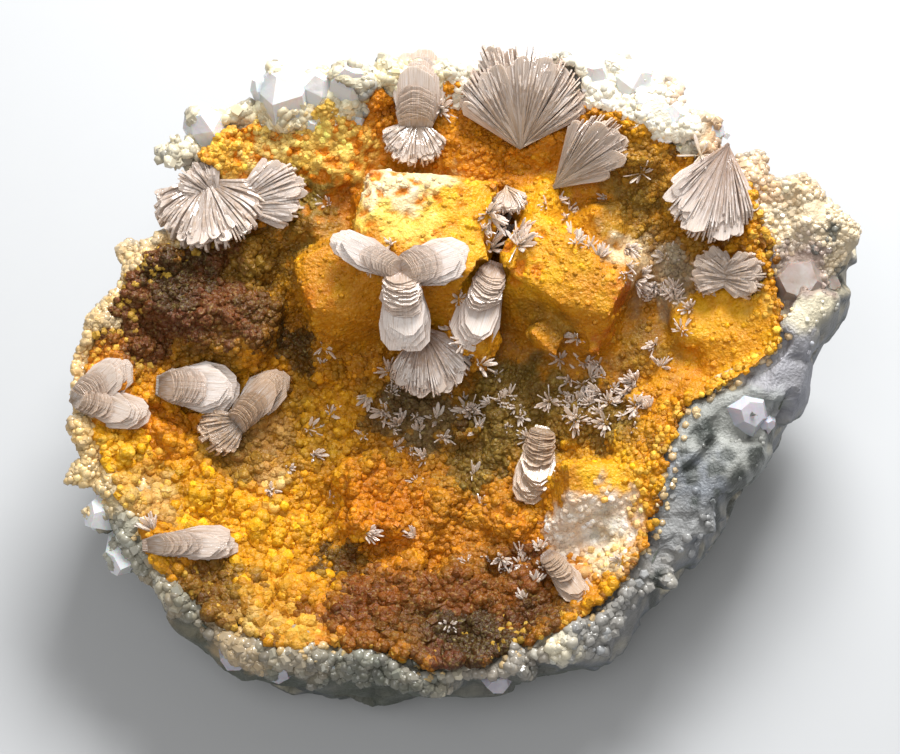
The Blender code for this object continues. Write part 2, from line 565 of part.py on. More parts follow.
for number, crystal in enumerate(RIM_QUARTZ):
    add_cutter(quartz_body(*crystal), f"quartz_{number}", groups["rim_quartz"])
rock_shapes = [reshape_ball(rock_point)] + [lump_body(*lump, chance) for lump in RIM_LUMPS]
rock = add_object(one_mesh(rock_shapes), "matrix", specimen)
grow_together(rock, ROCK_KEEP, KNOB_SIZE, KNOB_RISE * 0.5)
boolean(rock, "UNION", groups["rim_quartz"])
boolean(rock, "DIFFERENCE", groups["fan_sockets"])
boolean(rock, "DIFFERENCE", add_cutter(ground_box(), "ground", cutters))
settle(rock)
give_material(rock, "quartz_rock", (0.62, 0.60, 0.58), 0.6)

for number, spray in enumerate(SPRAYS):
    add_cutter(spray_body(*spray, chance), f"spray_{number}", groups["sprays"])
crust_shapes = [crust_sheet()] + [block_body(*block) for block in BLOCKS]
crust_shapes += [lump_body(*lump, chance) for lump in LUMPS_ABOVE + LUMPS_RIGHT + LUMPS_LEFT + LUMPS_LOW]
crust_shapes += [knob_body(chance) for _ in range(KNOBS)]
crust = add_object(one_mesh(crust_shapes), "druse_crust", specimen)
grow_together(crust, CRUST_KEEP, KNOB_SIZE, KNOB_RISE)
boolean(crust, "UNION", groups["sprays"])
boolean(crust, "DIFFERENCE", clearance(rock, LINING_GAP, cutters))
boolean(crust, "DIFFERENCE", groups["fan_sockets"])
settle(crust)
give_material(crust, "yellow_druse", (0.78, 0.40, 0.05), 0.5)

for piece in [rock, crust] + fans:
    piece.parent = holder
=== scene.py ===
"""Looks of a hemimorphite specimen: a broken quartz rock with a hollow, an orange-yellow druse
crust over the blocks in the hollow, and fans of glassy hemimorphite plates grown on the crust."""

import math
import random

import bmesh
import bpy
import numpy as np
from mathutils import Matrix, Vector, noise
from mathutils.bvhtree import BVHTree


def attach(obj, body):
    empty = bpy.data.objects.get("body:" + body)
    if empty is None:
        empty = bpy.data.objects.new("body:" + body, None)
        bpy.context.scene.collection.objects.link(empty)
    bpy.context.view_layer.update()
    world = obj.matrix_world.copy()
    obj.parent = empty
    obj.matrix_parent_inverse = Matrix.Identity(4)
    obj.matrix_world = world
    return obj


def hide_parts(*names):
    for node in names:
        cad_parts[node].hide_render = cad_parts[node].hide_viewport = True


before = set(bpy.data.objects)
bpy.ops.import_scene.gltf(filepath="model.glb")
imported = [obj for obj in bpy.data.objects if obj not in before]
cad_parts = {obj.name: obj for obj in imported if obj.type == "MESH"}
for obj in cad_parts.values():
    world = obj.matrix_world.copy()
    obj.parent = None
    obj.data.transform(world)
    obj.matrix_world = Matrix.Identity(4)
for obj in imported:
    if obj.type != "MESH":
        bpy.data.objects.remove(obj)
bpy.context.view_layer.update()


# The rock: broken grey quartz that the hollow lies in, cream and sugary along its rim and
# blue-grey on its outer wall. It is one natural lump and stands on its own flat foot.
MM = 0.001
ROCK_GRID = 0.52 * MM
ROCK_BASE = (206, 196, 168)
ROCK_WALL = (80, 86, 96)
# ROCK_UNDER_SHADE: painted shade for the faces of the rock that look down
ROCK_UNDER_SHADE = (62, 70, 54)
ROCK_BACK = (124, 118, 104)
STONE_DARK, STONE_PALE = (0.13, 0.13, 0.12, 1), (0.85, 0.83, 0.79, 1)
# Blender draws the place of its vector noise from the clock unless it is given one
NOISE_SEED = 7
ROCK_ZONES = (
    # x, y, z, radius in mm, colour, strength
    (16, 34, 41, 18, (240, 232, 210), 0.95), (-22, 29, 38, 12, (218, 202, 160), 0.8),
    (-41, 12, 33, 13, (190, 152, 84), 0.8), (-46, -4, 27, 9, (204, 160, 78), 0.85),
    (-42, -13, 24, 7, (206, 168, 92), 0.8), (-38, -21, 20, 7, (116, 114, 98), 0.85),
    (-30, -29, 16, 9, (92, 88, 66), 0.9), (-20, -33, 17, 7, (126, 110, 84), 0.85),
    (44, 14, 36, 9, (204, 182, 146), 0.85), (42.4, 9.2, 33.5, 5, (148, 126, 114), 0.95),
    (41, -3, 29, 7, (126, 128, 142), 0.85), (33, -10, 27, 9, (128, 132, 130), 0.9),
    (28, -18, 24, 8, (90, 96, 106), 0.85), (20, -28, 21, 9, (106, 106, 108), 0.85),
    # The zone at (-8, -35, 17) and the three at z 10 below it are painted shade on the wall under the front rim
    (-8, -35, 17, 9, (84, 78, 60), 0.9), (6, -35, 18, 6, (108, 98, 88), 0.85),
    (-8, -37, 10, 10, (58, 64, 50), 0.9), (-24, -34, 10, 10, (62, 68, 54), 0.9),
    (8, -36, 10, 9, (76, 78, 72), 0.9),
    (-26, -32, 17, 5, (164, 136, 92), 0.7), (-34, -26, 18, 4, (150, 130, 96), 0.6),
    (33, 26, 40, 4, (186, 132, 70), 0.7),
    (38, 21, 38, 4, (190, 140, 84), 0.6), (28, 32, 41, 3, (170, 116, 62), 0.6),
    (-4, 34, 42, 5, (222, 204, 150), 0.7), (44, 19, 37, 3, (196, 158, 104), 0.6),
)
GREEN_BLACK = (26, 36, 30)
ROCK_SPECKS = [(x, y, 0, radius, GREEN_BLACK, 0.9) for x, y, radius in (
    (30.4, -9.8, 1.7), (33, -12.2, 1.3), (28.8, -14, 1.2), (34.4, -14.6, 1.5), (36.6, -11.8, 1.1),
    (29, -17.4, 0.9),
    (32.2, -16.8, 1.0), (35.6, -9.2, 0.8), (26.4, -15.2, 0.8), (46.6, 13.6, 1.2), (48, 10.4, 1.0),
    (44.6, 11.6, 0.7),
    (46, 7.4, 0.7), (31, -21, 1.0), (24.6, -25, 0.9), (38.6, -8.6, 0.8), (31.6, -13.8, 0.8), (28, -11.6, 0.7))]


def linear(colour):
    """An sRGB colour of 0 to 255 as linear light."""
    return [((c / 255 + 0.055) / 1.055) ** 2.4 if c > 10 else c / 3295 for c in colour]


def fine_skin(node, name, grid, smoothing):
    """A closed skin of small faces over a CAD node, in an object of its own."""
    shape = bmesh.new()
    shape.from_mesh(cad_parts[node].data)
    bmesh.ops.remove_doubles(shape, verts=shape.verts, dist=0.002 * MM)
    skin = bpy.data.objects.new(name, bpy.data.meshes.new(name))
    shape.to_mesh(skin.data)
    shape.free()
    bpy.context.scene.collection.objects.link(skin)
    voxels = skin.modifiers.new("voxels", "REMESH")
    voxels.mode = "VOXEL"
    voxels.voxel_size = grid
    rounding = skin.modifiers.new("rounding", "SMOOTH")
    rounding.iterations = smoothing
    fine = bpy.data.meshes.new_from_object(skin.evaluated_get(bpy.context.evaluated_depsgraph_get()))
    skin.modifiers.clear()
    skin.data = fine
    fine.name = name
    return skin


def points_of(mesh):
    """Places and outward directions of a mesh's points, the places in mm."""
    places = np.zeros(len(mesh.vertices) * 3)
    mesh.vertices.foreach_get("co", places)
    facing = np.zeros(len(mesh.vertices) * 3)
    mesh.vertices.foreach_get("normal", facing)
    return places.reshape(-1, 3) / MM, facing.reshape(-1, 3)


def raise_skin(mesh, heights):
    """Moves each point of a mesh along its normal by a height in mm."""
    places, facing = points_of(mesh)
    moved = (places + facing * heights[:, None]) * MM
    mesh.vertices.foreach_set("co", moved.ravel())
    mesh.update()


def soften(mesh, rounds):
    """Smooths a mesh a little, to take out steps narrower than its grid."""
    shape = bmesh.new()
    shape.from_mesh(mesh)
    for turn in range(rounds):
        bmesh.ops.smooth_vert(shape, verts=shape.verts, factor=0.4, use_axis_x=True, use_axis_y=True,
                              use_axis_z=True)
    shape.to_mesh(mesh)
    shape.free()


def soft_noise(places, size, seed=0.0):
    """Smooth noise from -1 to 1 at each place, with bumps of a size in mm."""
    shift = Vector((seed, seed * 1.7, -seed))
    return np.array([noise.noise(Vector(place) / size + shift) for place in places])


def facets(places, size, seed=0.0):
    """Height of flat facets of a size, each tilted its own way, as on broken stone."""
    heights = np.zeros(len(places))
    shift = Vector((seed, -seed, seed * 2))
    for index, place in enumerate(places):
        spot = Vector(place) / size + shift
        centre = noise.voronoi(spot)[1][0]
        tilt = noise.noise_vector(centre * 5.3)
        heights[index] = (spot - centre).dot(tilt) * size
    return heights


def bubbles(places, size, seed=0.0):
    """Rounded grains of a size in mm: 1 at the middle of each, 0 in the creases between."""
    shift = Vector((-seed, seed, seed * 3))
    found = [noise.voronoi(Vector(place) / size + shift)[0] for place in places]
    return np.array([min(1.0, (far - near) * 1.6) for near, far, *rest in found])


def patches(places, colours, zones, raggedness):
    """Lays soft-edged patches of colour over colours, one after the other."""
    wobble = np.array([noise.noise_vector(Vector(place) * 0.45) for place in places]) * raggedness
    wobble += np.array([noise.noise_vector(Vector(place) * 1.6) for place in places]) * raggedness * 0.45
    moved = places + wobble
    for x, y, z, radius, colour, strength in zones:
        away = np.linalg.norm(moved - (x, y, z), axis=1) / radius
        share = np.clip((1.1 - away) / 0.45, 0, 1)
        share = (share * share * (3 - 2 * share) * strength)[:, None]
        colours = colours + share * (np.array(linear(colour)) - colours)
    return colours


def paint(mesh, colours):
    """Stores a colour at each point of a mesh."""
    layer = mesh.color_attributes.new("tint", "FLOAT_COLOR", "POINT")
    layer.data.foreach_set("color", np.c_[colours, np.ones(len(colours))].ravel())


class Value:
    """A socket that adds its own Math nodes when numbers or sockets are worked out with it."""

    def __init__(self, tree, socket):
        self.tree = tree
        self.socket = socket

    def _math(self, operation, *inputs):
        node = self.tree.nodes.new("ShaderNodeMath")
        node.operation = operation
        for slot, given in zip(node.inputs, inputs):
            if isinstance(given, Value):
                self.tree.links.new(given.socket, slot)
            else:
                slot.default_value = given
        return Value(self.tree, node.outputs[0])

    def __add__(self, other):
        return self._math("ADD", self, other)

    def __radd__(self, other):
        return self._math("ADD", other, self)

    def __sub__(self, other):
        return self._math("SUBTRACT", self, other)

    def __rsub__(self, other):
        return self._math("SUBTRACT", other, self)

    def __mul__(self, other):
        return self._math("MULTIPLY", self, other)

    def __rmul__(self, other):
        return self._math("MULTIPLY", other, self)

    def __pow__(self, other):
        return self._math("POWER", self, other)

    def __rpow__(self, other):
        return self._math("POWER", other, self)


class Finish:
    """A material made node by node around one Principled shader."""

    def __init__(self, name):
        self.material = bpy.data.materials.new(name)
        self.material.use_nodes = True
        self.tree = self.material.node_tree
        self.shader = self.tree.nodes["Principled BSDF"]
        self.place = self.node("ShaderNodeTexCoord", "Object")

    def node(self, kind, output, settings=None, **inputs):
        """Adds a node, sets its settings and inputs, and gives one of its outputs."""
        made = self.tree.nodes.new(kind)
        for key, setting in (settings or {}).items():
            setattr(made, key, setting)
        for key, given in inputs.items():
            slot = made.inputs[int(key[1:])] if key[1:].isdigit() else made.inputs[key]
            self.feed(slot, given)
        return Value(self.tree, made.outputs[output])

    def feed(self, slot, given):
        """Links a value to a socket, or sets a constant there."""
        if isinstance(given, Value):
            self.tree.links.new(given.socket, slot)
        else:
            slot.default_value = given

    def set(self, **inputs):
        """Feeds or sets sockets of the Principled shader."""
        for key, given in inputs.items():
            self.feed(self.shader.inputs[key.replace("_", " ")], given)

    def tint(self):
        """The colour stored at the points of the mesh."""
        return self.node("ShaderNodeVertexColor", "Color", {"layer_name": "tint"})

    def grain(self, per_mm, detail=3.0):
        """Fine noise, as the number of bumps in a millimetre."""
        return self.node("ShaderNodeTexNoise", "Fac", None, Vector=self.place,
                         Scale=per_mm / MM, Detail=detail)

    def crystals(self, per_mm):
        """Cells like small crystals, as the number in a millimetre."""
        return self.node("ShaderNodeTexVoronoi", "Distance", None, Vector=self.place, Scale=per_mm / MM)

    def mix(self, share, first, second, blend="MIX"):
        """One colour mixed over another by a share."""
        settings = {"data_type": "RGBA", "blend_type": blend}
        return self.node("ShaderNodeMix", 2, settings, i0=share, i6=first, i7=second)

    def bump(self, height, depth_mm, strength=1.0):
        """Small relief of a depth in mm, for the Normal socket."""
        return self.node("ShaderNodeBump", "Normal", None, Strength=strength, Distance=depth_mm * MM,
                         Height=height)


noise.seed_set(NOISE_SEED)
rock = fine_skin("matrix", "rock", ROCK_GRID, 3)
places, facing = points_of(rock.data)
heights = 0.7 * facets(places, 8.0, 3.1) + 0.35 * facets(places, 3.0, 1.7)
heights += 0.4 * soft_noise(places, 5.0) + 0.08 * soft_noise(places, 1.2)
heights *= np.clip((places[:, 2] - 0.4) / 1.5, 0, 1)
raise_skin(rock.data, np.clip(heights, -1.2, 0.8))
soften(rock.data, 2)
places, facing = points_of(rock.data)
wall = np.clip(1.1 - 1.6 * facing[:, 2], 0, 1)[:, None]
# Painted shade: faces that look down are darkened to a dark green-grey, the shade under the rim
underside_shade = np.clip(-facing[:, 2] * 2.5 + 0.1, 0, 1)[:, None]
colours = np.tile(linear(ROCK_BASE), (len(places), 1))
colours = colours + wall * (np.array(linear(ROCK_WALL)) - colours)
colours = patches(places, colours, ROCK_ZONES, 2.5)
mottling = 1 + 0.34 * soft_noise(places, 1.7, 6.0) + 0.26 * soft_noise(places, 0.7, 2.0)
colours = np.clip(colours * mottling[:, None], 0, 1)
colours = patches(places * (1, 1, 0), colours, ROCK_SPECKS, 0.9)
behind = np.clip(facing[:, 1] * 1.6 - 0.5, 0, 1)[:, None] * 0.75
colours = colours + behind * (np.array(linear(ROCK_BACK)) - colours)
colours = colours + underside_shade * (np.array(linear(ROCK_UNDER_SHADE)) - colours)
paint(rock.data, colours)

stone = Finish("quartz_rock")
speckle = stone.grain(1.4)
dark = stone.mix(speckle ** 4.0 * 0.9, stone.tint(), STONE_DARK)
pale = stone.mix(stone.grain(0.5) ** 2.0, dark, STONE_PALE, "SCREEN")
stone.set(Base_Color=stone.mix(0.13, dark, pale), Roughness=0.5)
stone.set(Normal=stone.bump(stone.crystals(0.9) * 0.5 + stone.grain(3.0), 0.3, 0.7))
rock.data.materials.clear()
rock.data.materials.append(stone.material)
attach(rock, "root")
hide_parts("matrix")


# The crust: a druse of tiny orange-yellow crystals over the blocks and floor of the hollow. It
# grew on the rock as one skin, sunny on the blocks, rust-red at the bottom, dark on the left.
CRUST_GRID = 0.42 * MM
AMBER, YELLOW, LEMON, CREAM = (202, 140, 14), (228, 172, 22), (242, 216, 104), (238, 228, 196)
WHITE, ORANGE, RUST, BROWN = (240, 236, 228), (198, 118, 8), (94, 38, 12), (62, 34, 18)
PLUM, DARK, OLIVE, KHAKI = (78, 32, 28), (32, 18, 18), (98, 84, 36), (126, 94, 26)
GREY, HONEY, TAN = (168, 166, 154), (200, 146, 40), (176, 140, 84)
PIT, RUSTY_EDGE = (212, 122, 8), (186, 84, 10)
CREASE_SHADE, HOLLOW_SHADE = (0.74, 0.50, 0.30), (0.38, 0.31, 0.26)
DEEP_AMBER, LIT_YELLOW = (0.26, 0.09, 0.004, 1), (0.92, 0.70, 0.20, 1)
SHELTER_REACH = 9.0
CRUST_ZONES = (
    # x, y, z, radius in mm, colour, strength
    (-2, -24, 16, 20, ORANGE, 0.6), (0, -6, 18, 14, KHAKI, 0.35), (4, 24, 35, 16, ORANGE, 0.5),
    (-20, 28, 38, 11, LEMON, 0.8),
    (-24.7, 27.3, 38, 7, (242, 220, 140), 0.8), (-13.6, 26.2, 38, 6, (240, 208, 108), 0.8),
    (-8.9, 30.6, 40, 5, ORANGE, 0.9),
    (-27.4, 25.8, 38, 4, YELLOW, 0.8), (-39, 7, 31, 10, PLUM, 0.95), (-29, 9, 30, 9, PLUM, 0.95),
    (-33.1, 10.9, 31.4, 5, DARK, 0.9), (-22.2, 6.1, 27.6, 4, BROWN, 0.8), (-42.9, -3.2, 27.9, 6, ORANGE, 0.7),
    (-33.6, -8, 22.8, 5, ORANGE, 0.9), (-41, -11.1, 24.8, 6, YELLOW, 0.8), (-33.8, -12.5, 21.3, 3, BROWN, 0.9),
    (-17.4, 18.7, 31.6, 6, OLIVE, 0.8), (-23, 13.8, 29.1, 5, KHAKI, 0.9),
    (-3.8, -1.8, 18.7, 6, (92, 88, 70), 0.85),
    (23.4, 22, 35.7, 6, OLIVE, 0.6), (26.3, 11.4, 28.4, 5, (196, 194, 184), 0.9),
    (-21.6, -11.1, 17.7, 2.8, GREY, 0.75),
    (3.1, -8.8, 17.2, 5, OLIVE, 0.85), (-18.7, -4.4, 18.2, 6, KHAKI, 0.7), (-26, -6.6, 19.7, 6, TAN, 0.7),
    (9, -2, 20, 8, OLIVE, 0.9), (19, -4, 23, 6, OLIVE, 0.85), (25, 3, 25, 5, KHAKI, 0.85),
    (13, -8, 19, 5, KHAKI, 0.6),
    (-20, -19, 17, 12, YELLOW, 0.5), (-30, -13, 20, 8, YELLOW, 0.5), (23, -9, 23, 4, KHAKI, 0.7),
    (27, 13, 29, 7, OLIVE, 0.5),
    (4, -27, 18, 10, BROWN, 0.6), (15, 9, 31, 12, AMBER, 0.7), (-6, 10, 33, 13, AMBER, 0.6),
    (12, 6, 28, 4, OLIVE, 0.5), (-10, 2, 26, 5, RUST, 0.4), (22, 17, 33, 5, OLIVE, 0.5),
    # The lemon and cream zones on this line and the next lie on the top of the central block: painted highlight
    # of the light from behind
    (-5, 18, 39, 8, LEMON, 0.95), (-8, 20, 38, 5, CREAM, 0.9), (-2, 20.5, 38, 4, CREAM, 0.85),
    (-5, 16.5, 38, 2.5, CREAM, 0.7), (2.4, 14.9, 37, 6, YELLOW, 0.95),
    (-11.8, 20.4, 31.4, 3, ORANGE, 0.8), (-12.8, 5.4, 31.1, 6, AMBER, 0.9), (-17, 7.2, 32.8, 3, ORANGE, 0.8),
    (-18.4, 6.2, 23.6, 3, BROWN, 0.8), (8.5, 11.8, 35, 9, YELLOW, 0.7), (21.6, 6.3, 31, 3, (176, 72, 10), 0.75),
    (20.8, 3, 29, 2.6, (176, 72, 10), 0.7), (19.6, 0.6, 27, 2.6, (160, 70, 12), 0.7),
    (33, 7, 30, 4, YELLOW, 0.7), (38, 6, 31, 3, LEMON, 0.7),
    (21, -0.7, 23.1, 3, RUST, 0.5), (11.1, 19.2, 35, 5, YELLOW, 0.8), (21.5, 12.7, 32, 3.5, CREAM, 0.7),
    (32.9, 2.5, 29, 8, YELLOW, 0.5), (30, -2, 27, 4, ORANGE, 0.6), (34, 6, 31, 3.5, YELLOW, 0.6),
    (18.5, -12.8, 25, 4.6, YELLOW, 0.9), (23, -15, 24, 3, YELLOW, 0.8), (19, -18, 21.8, 4.6, WHITE, 0.97),
    (15, -18.2, 20, 4.4, WHITE, 0.97),
    (19, -22, 20.5, 3.4, CREAM, 0.9), (18.2, -17.8, 21.5, 2.2, GREY, 0.6), (-9.2, -14.4, 19.1, 6, ORANGE, 0.8),
    # The DARK zone at (-12.9, -20.9) is painted shadow along the edge between the orange lumps and the rusty zone
    (-12.9, -20.9, 15, 3.5, DARK, 0.9), (-10.2, -25.5, 17.3, 5, RUST, 0.9), (-11, -30, 18, 5, RUST, 0.8),
    (1.2, -33.6, 18.4, 6, PLUM, 0.9), (8, -27, 18, 8, RUST, 0.7), (-22, -28.1, 17.4, 5, HONEY, 0.8),
    (-16.6, -31.2, 18.8, 4, (220, 176, 70), 0.8), (-28.7, -26.3, 19.2, 6, BROWN, 0.8),
    (-36.2, -15.9, 22.2, 4, (186, 152, 90), 0.8),
    (-2, -27, 17, 6, RUST, 0.8), (-4, -31, 18, 5, BROWN, 0.8), (4, -32, 18, 5, DARK, 0.85),
    (0, -34, 18, 4, PLUM, 0.9),
    (-14.5, -30.5, 18, 2.6, ORANGE, 0.8), (-15.2, -26, 17, 2.6, RUST, 0.8), (12, -29, 19, 4, BROWN, 0.7),
    (10, -23, 17, 4, RUST, 0.6), (-24, -30, 18, 3.0, (214, 180, 104), 0.7),
    # The DARK zones on this line are painted shadow in the pit left of the central block and in the crevices at
    # its foot
    (-26, -8, 19, 4, DARK, 0.5), (-19, 4, 22, 4, DARK, 0.8), (-8, -1, 19, 4, DARK, 0.5),
    (-15, -3, 18, 5, YELLOW, 0.4),
    (-30, 2, 24, 5, KHAKI, 0.6), (-38, -14, 22, 4, (200, 168, 100), 0.6), (15, -10, 20, 4, YELLOW, 0.5),
    (26, -2, 24, 5, AMBER, 0.6),
    (2.5, -31.5, 18, 4.6, (26, 12, 16), 0.95), (8, -29.5, 18.5, 3, (58, 22, 18), 0.8),
    (-13, -29, 18, 2.4, PLUM, 0.7),
)
SMOOTH_FACES = (
    # x, y, z, radius in mm of the blocks whose coat is smooth and whose edges are rusty
    (-6, 13, 34, 15), (14, 8, 31, 13), (31, 3, 29, 9), (18, -17, 22, 7), (14, 19, 35, 8),
)
HONEYCOMB = ((-6.1, 17.5, 39, 9), (-20, 27, 38, 11), (-14, 25, 37, 7), (8, 12, 34, 5))


def tree_of(mesh):
    """The faces of a mesh, ready to be searched."""
    return BVHTree.FromPolygons([point.co.copy() for point in mesh.vertices],
                                [tuple(face.vertices) for face in mesh.polygons])


def shelter(mesh, reach, rays):
    """How closed in each point of a mesh is, from 0 in the open to 1, by rays of a reach in mm."""
    tree = tree_of(mesh)
    closed = np.zeros(len(mesh.vertices))
    for point in mesh.vertices:
        for way in rays:
            ray = (way + point.normal * 0.5).normalized()
            if tree.ray_cast(point.co + point.normal * 0.3 * MM, ray, reach * MM)[0] is not None:
                closed[point.index] += 1 / len(rays)
    return closed


def smooth_share(places):
    """1 on the smooth blocks, 0 on the grainy druse round them."""
    share = np.zeros(len(places))
    for x, y, z, radius in SMOOTH_FACES:
        away = np.linalg.norm(places - (x, y, z), axis=1) / radius
        share = np.maximum(share, np.clip((1.15 - away) / 0.3, 0, 1))
    return share


def bulge(mesh, rounds):
    """How far each point of a mesh stands out of its own smoothed shape, in mm."""
    holder = bpy.data.objects.new("smoothed", mesh)
    bpy.context.scene.collection.objects.link(holder)
    eased = holder.modifiers.new("eased", "SMOOTH")
    eased.iterations = rounds
    shape = bpy.data.meshes.new_from_object(holder.evaluated_get(bpy.context.evaluated_depsgraph_get()))
    bpy.data.objects.remove(holder)
    places, facing = points_of(mesh)
    return ((places - points_of(shape)[0]) * facing).sum(axis=1)


SKY = [Vector((math.cos(turn), math.sin(turn), 0.75)).normalized() for turn in np.arange(0, math.tau, 0.9)]
crust = fine_skin("druse_crust", "druse", CRUST_GRID, 4)
places, facing = points_of(crust.data)
cells = bubbles(places, 2.1, 4.0)
comb = np.zeros(len(places))
for x, y, z, radius in HONEYCOMB:
    comb = np.maximum(comb, np.clip(1.3 - np.linalg.norm(places - (x, y, z), axis=1) / radius, 0, 1))
lumps = 0.55 * soft_noise(places, 5.0, 2.0) + 0.35 * soft_noise(places, 2.2, 5.0)
knobs = 0.75 * bubbles(places, 3.2, 9.0) - 0.35
fine = 0.40 * bubbles(places, 1.3, 7.0) - 0.15 + 0.14 * soft_noise(places, 0.7, 1.0)
calm = smooth_share(places)
edges = np.clip(bulge(crust.data, 14) / 0.30 - 0.3, 0, 1) * calm
heights = lumps * (1 - 0.65 * calm) + knobs * (1 - comb) * (1 - calm) + fine * (1 - 0.7 * calm)
heights -= comb * (0.8 * cells ** 1.5 - 0.25) - 0.25 * edges
raise_skin(crust.data, np.clip(heights, -1.1, 1.0))
places, facing = points_of(crust.data)
colours = np.tile(linear(AMBER), (len(places), 1))
colours = patches(places, colours, CRUST_ZONES, 3.0)
# Painted shade: the creases between the knobs and grains are darkened and browned
painted_crease_shade = np.clip(0.5 - (fine + knobs) * 1.4, 0, 1)[:, None] * 0.6
colours = colours * (1 - painted_crease_shade * (1 - np.array(CREASE_SHADE)))
pitted = np.clip(comb * 1.6, 0, 1) * np.clip((cells - 0.38) / 0.15, 0, 1) * (soft_noise(places, 4.0, 8.0) > -0.45)
colours = colours + (pitted * 0.95)[:, None] * (np.array(linear(PIT)) - colours)
colours = colours + (edges * 0.6)[:, None] * (np.array(linear(RUSTY_EDGE)) - colours)
# Painted shade: points closed in by the crust around them are darkened, with a brown tint, as shade in the
# hollows
closed = shelter(crust.data, SHELTER_REACH, SKY)[:, None] ** 1.15
colours = colours * (1 - closed * (1 - np.array(HOLLOW_SHADE)))
paint(crust.data, colours)

druse = Finish("yellow_druse")
fleck = druse.grain(2.6, 4.0)
deep = druse.mix((1 - fleck) ** 3.0 * 0.7, druse.tint(), DEEP_AMBER)
lit = druse.mix(fleck ** 6.0 * 1.6, deep, LIT_YELLOW)
druse.set(Base_Color=lit, Roughness=0.3, Specular_IOR_Level=0.22)
druse.set(Normal=druse.bump(druse.crystals(2.0) * 0.6 + druse.grain(4.0), 0.22, 0.8))
crust.data.materials.clear()
crust.data.materials.append(druse.material)
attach(crust, "root")
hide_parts("druse_crust")


# The fans: sheaves of thin glassy hemimorphite plates. Each sheaf grew from one point of the
# crust, brown and ridged at its root, white to pink and smooth at its far end.
FANS = {
    # kind, root, tip, opening in degrees, depth along the spine, plates; mm
    "fan_tall": (("petal", (-4.2, 27.9, 37.2), (-3.7, 34.6, 43.6), 40, 6.6, 26),
                 ("shell", (-4.2, 27.9, 37.2), (-5.0, 23.0, 36.0), 110, 2.8, 52)),
    "fan_great": (("shell", (8.8, 27.0, 36.6), (9.4, 35.2, 44.4), 112, 4.2, 120),
                  ("shell", (7.6, 28.4, 38.0), (4.4, 35.4, 44.6), 24, 2.2, 18)),
    "fan_needle": (("shell", (13.9, 22.1, 34.4), (20.8, 25.3, 41.6), 50, 3.0, 64),),
    "fan_right": (("shell", (33.4, 22.4, 39.4), (30.2, 12.5, 35.6), 72, 4.4, 76),),
    "rosette_left": (("shell", (-29.8, 20.3, 34.4), (-29.0, 12.5, 33.6), 160, 3.6, 84),
                     ("shell", (-29.8, 20.3, 34.4), (-33.1, 22.1, 36.4), 100, 3.0, 36),
                     ("shell", (-25.8, 19.0, 33.8), (-17.7, 20.7, 35.6), 70, 3.0, 44)),
    "flower_centre": (("petal", (-5.8, 8.1, 35.6), (-14.0, 11.5, 38.6), 52, 4.0, 24),
                      ("petal", (-5.8, 8.1, 35.6), (2.5, 10.0, 37.6), 56, 5.8, 30),
                      ("petal", (-5.8, 8.1, 35.6), (-5.8, -0.5, 31.6), 60, 6.2, 30)),
    "petal_beside": (("petal", (5.3, 10.9, 31.0), (1.8, 1.4, 29.8), 54, 5.2, 30),),
    "fan_below_flower": (("shell", (-3.1, 4.5, 26.0), (-1.1, -2.6, 23.8), 100, 3.0, 70),),
    "plate_left_hollow": (("petal", (-34.7, -2.0, 25.4), (-26.0, -2.2, 24.8), 66, 6.0, 34),),
    "fans_left_hollow": (("petal", (-26.3, -4.9, 20.8), (-20.9, 0.4, 24.6), 56, 4.6, 26),
                         ("shell", (-26.3, -4.9, 20.8), (-30.6, -7.9, 22.0), 70, 3.0, 34)),
    "fans_far_left": (("petal", (-44.6, -4.7, 27.2), (-39.2, -1.5, 30.2), 60, 4.6, 22),
                      ("petal", (-44.6, -4.7, 27.2), (-37.0, -7.5, 27.6), 60, 4.2, 26)),
    "fan_lower_left": (("petal", (-35.4, -21.9, 22.6), (-25.5, -21.0, 21.8), 50, 3.8, 28),),
    "fan_right_grey": (("shell", (33.8, 9.8, 31.6), (29.4, 10.8, 33.2), 84, 2.6, 32),
                       ("shell", (33.8, 9.8, 31.6), (38.0, 8.4, 34.8), 70, 2.6, 28)),
    "fan_middle": (("petal", (11.2, -6.4, 20.6), (10.0, -14.6, 21.4), 64, 4.8, 34),),
    "fan_front": (("petal", (12.2, -22.2, 18.8), (16.1, -28.6, 21.2), 50, 3.6, 20),),
    "fan_small": (("shell", (7.2, 20.0, 34.0), (7.6, 16.6, 35.4), 70, 2.2, 30),),
}
SHADES = {
    # how white the far ends are, and the colour at the root
    # fans_left_hollow: the dark root and dull tips are partly their grey-brown colour and partly painted shade of
    # the hollow they sit in
    "fans_left_hollow": (0.0, (58, 48, 40)), "fan_right_grey": (0.45, (120, 100, 84)),
    "fans_far_left": (0.62, (168, 132, 92)), "fan_middle": (0.1, (168, 130, 84)),
    "fan_front": (0.2, (112, 78, 54)), "fan_lower_left": (0.66, (128, 92, 58)),
    "fan_needle": (0.48, (160, 134, 98)), "rosette_left": (0.72, (128, 100, 80)),
    "fan_great": (0.62, (156, 120, 80)), "fan_tall": (0.62, (160, 128, 98)), "fan_right": (0.9, (138, 92, 62)),
    "fan_small": (0.6, (196, 156, 108)), "fan_below_flower": (0.74, (150, 100, 66)),
    "flower_centre": (0.96, (140, 94, 64)), "petal_beside": (0.9, (140, 98, 70)),
    "plate_left_hollow": (0.86, (112, 92, 74)),
}
FAN_FACING = Vector((0.0, -0.42, 0.9))
FAN_START = 1.2
PAGES = 9
FAN_SEED = 11
DULL_TIP, CLEAR_TIP = (196, 154, 112), (250, 232, 220)
BROWN_STREAK, WHITE_STREAK = (0.42, 0.27, 0.15, 1), (0.97, 0.95, 0.94, 1)
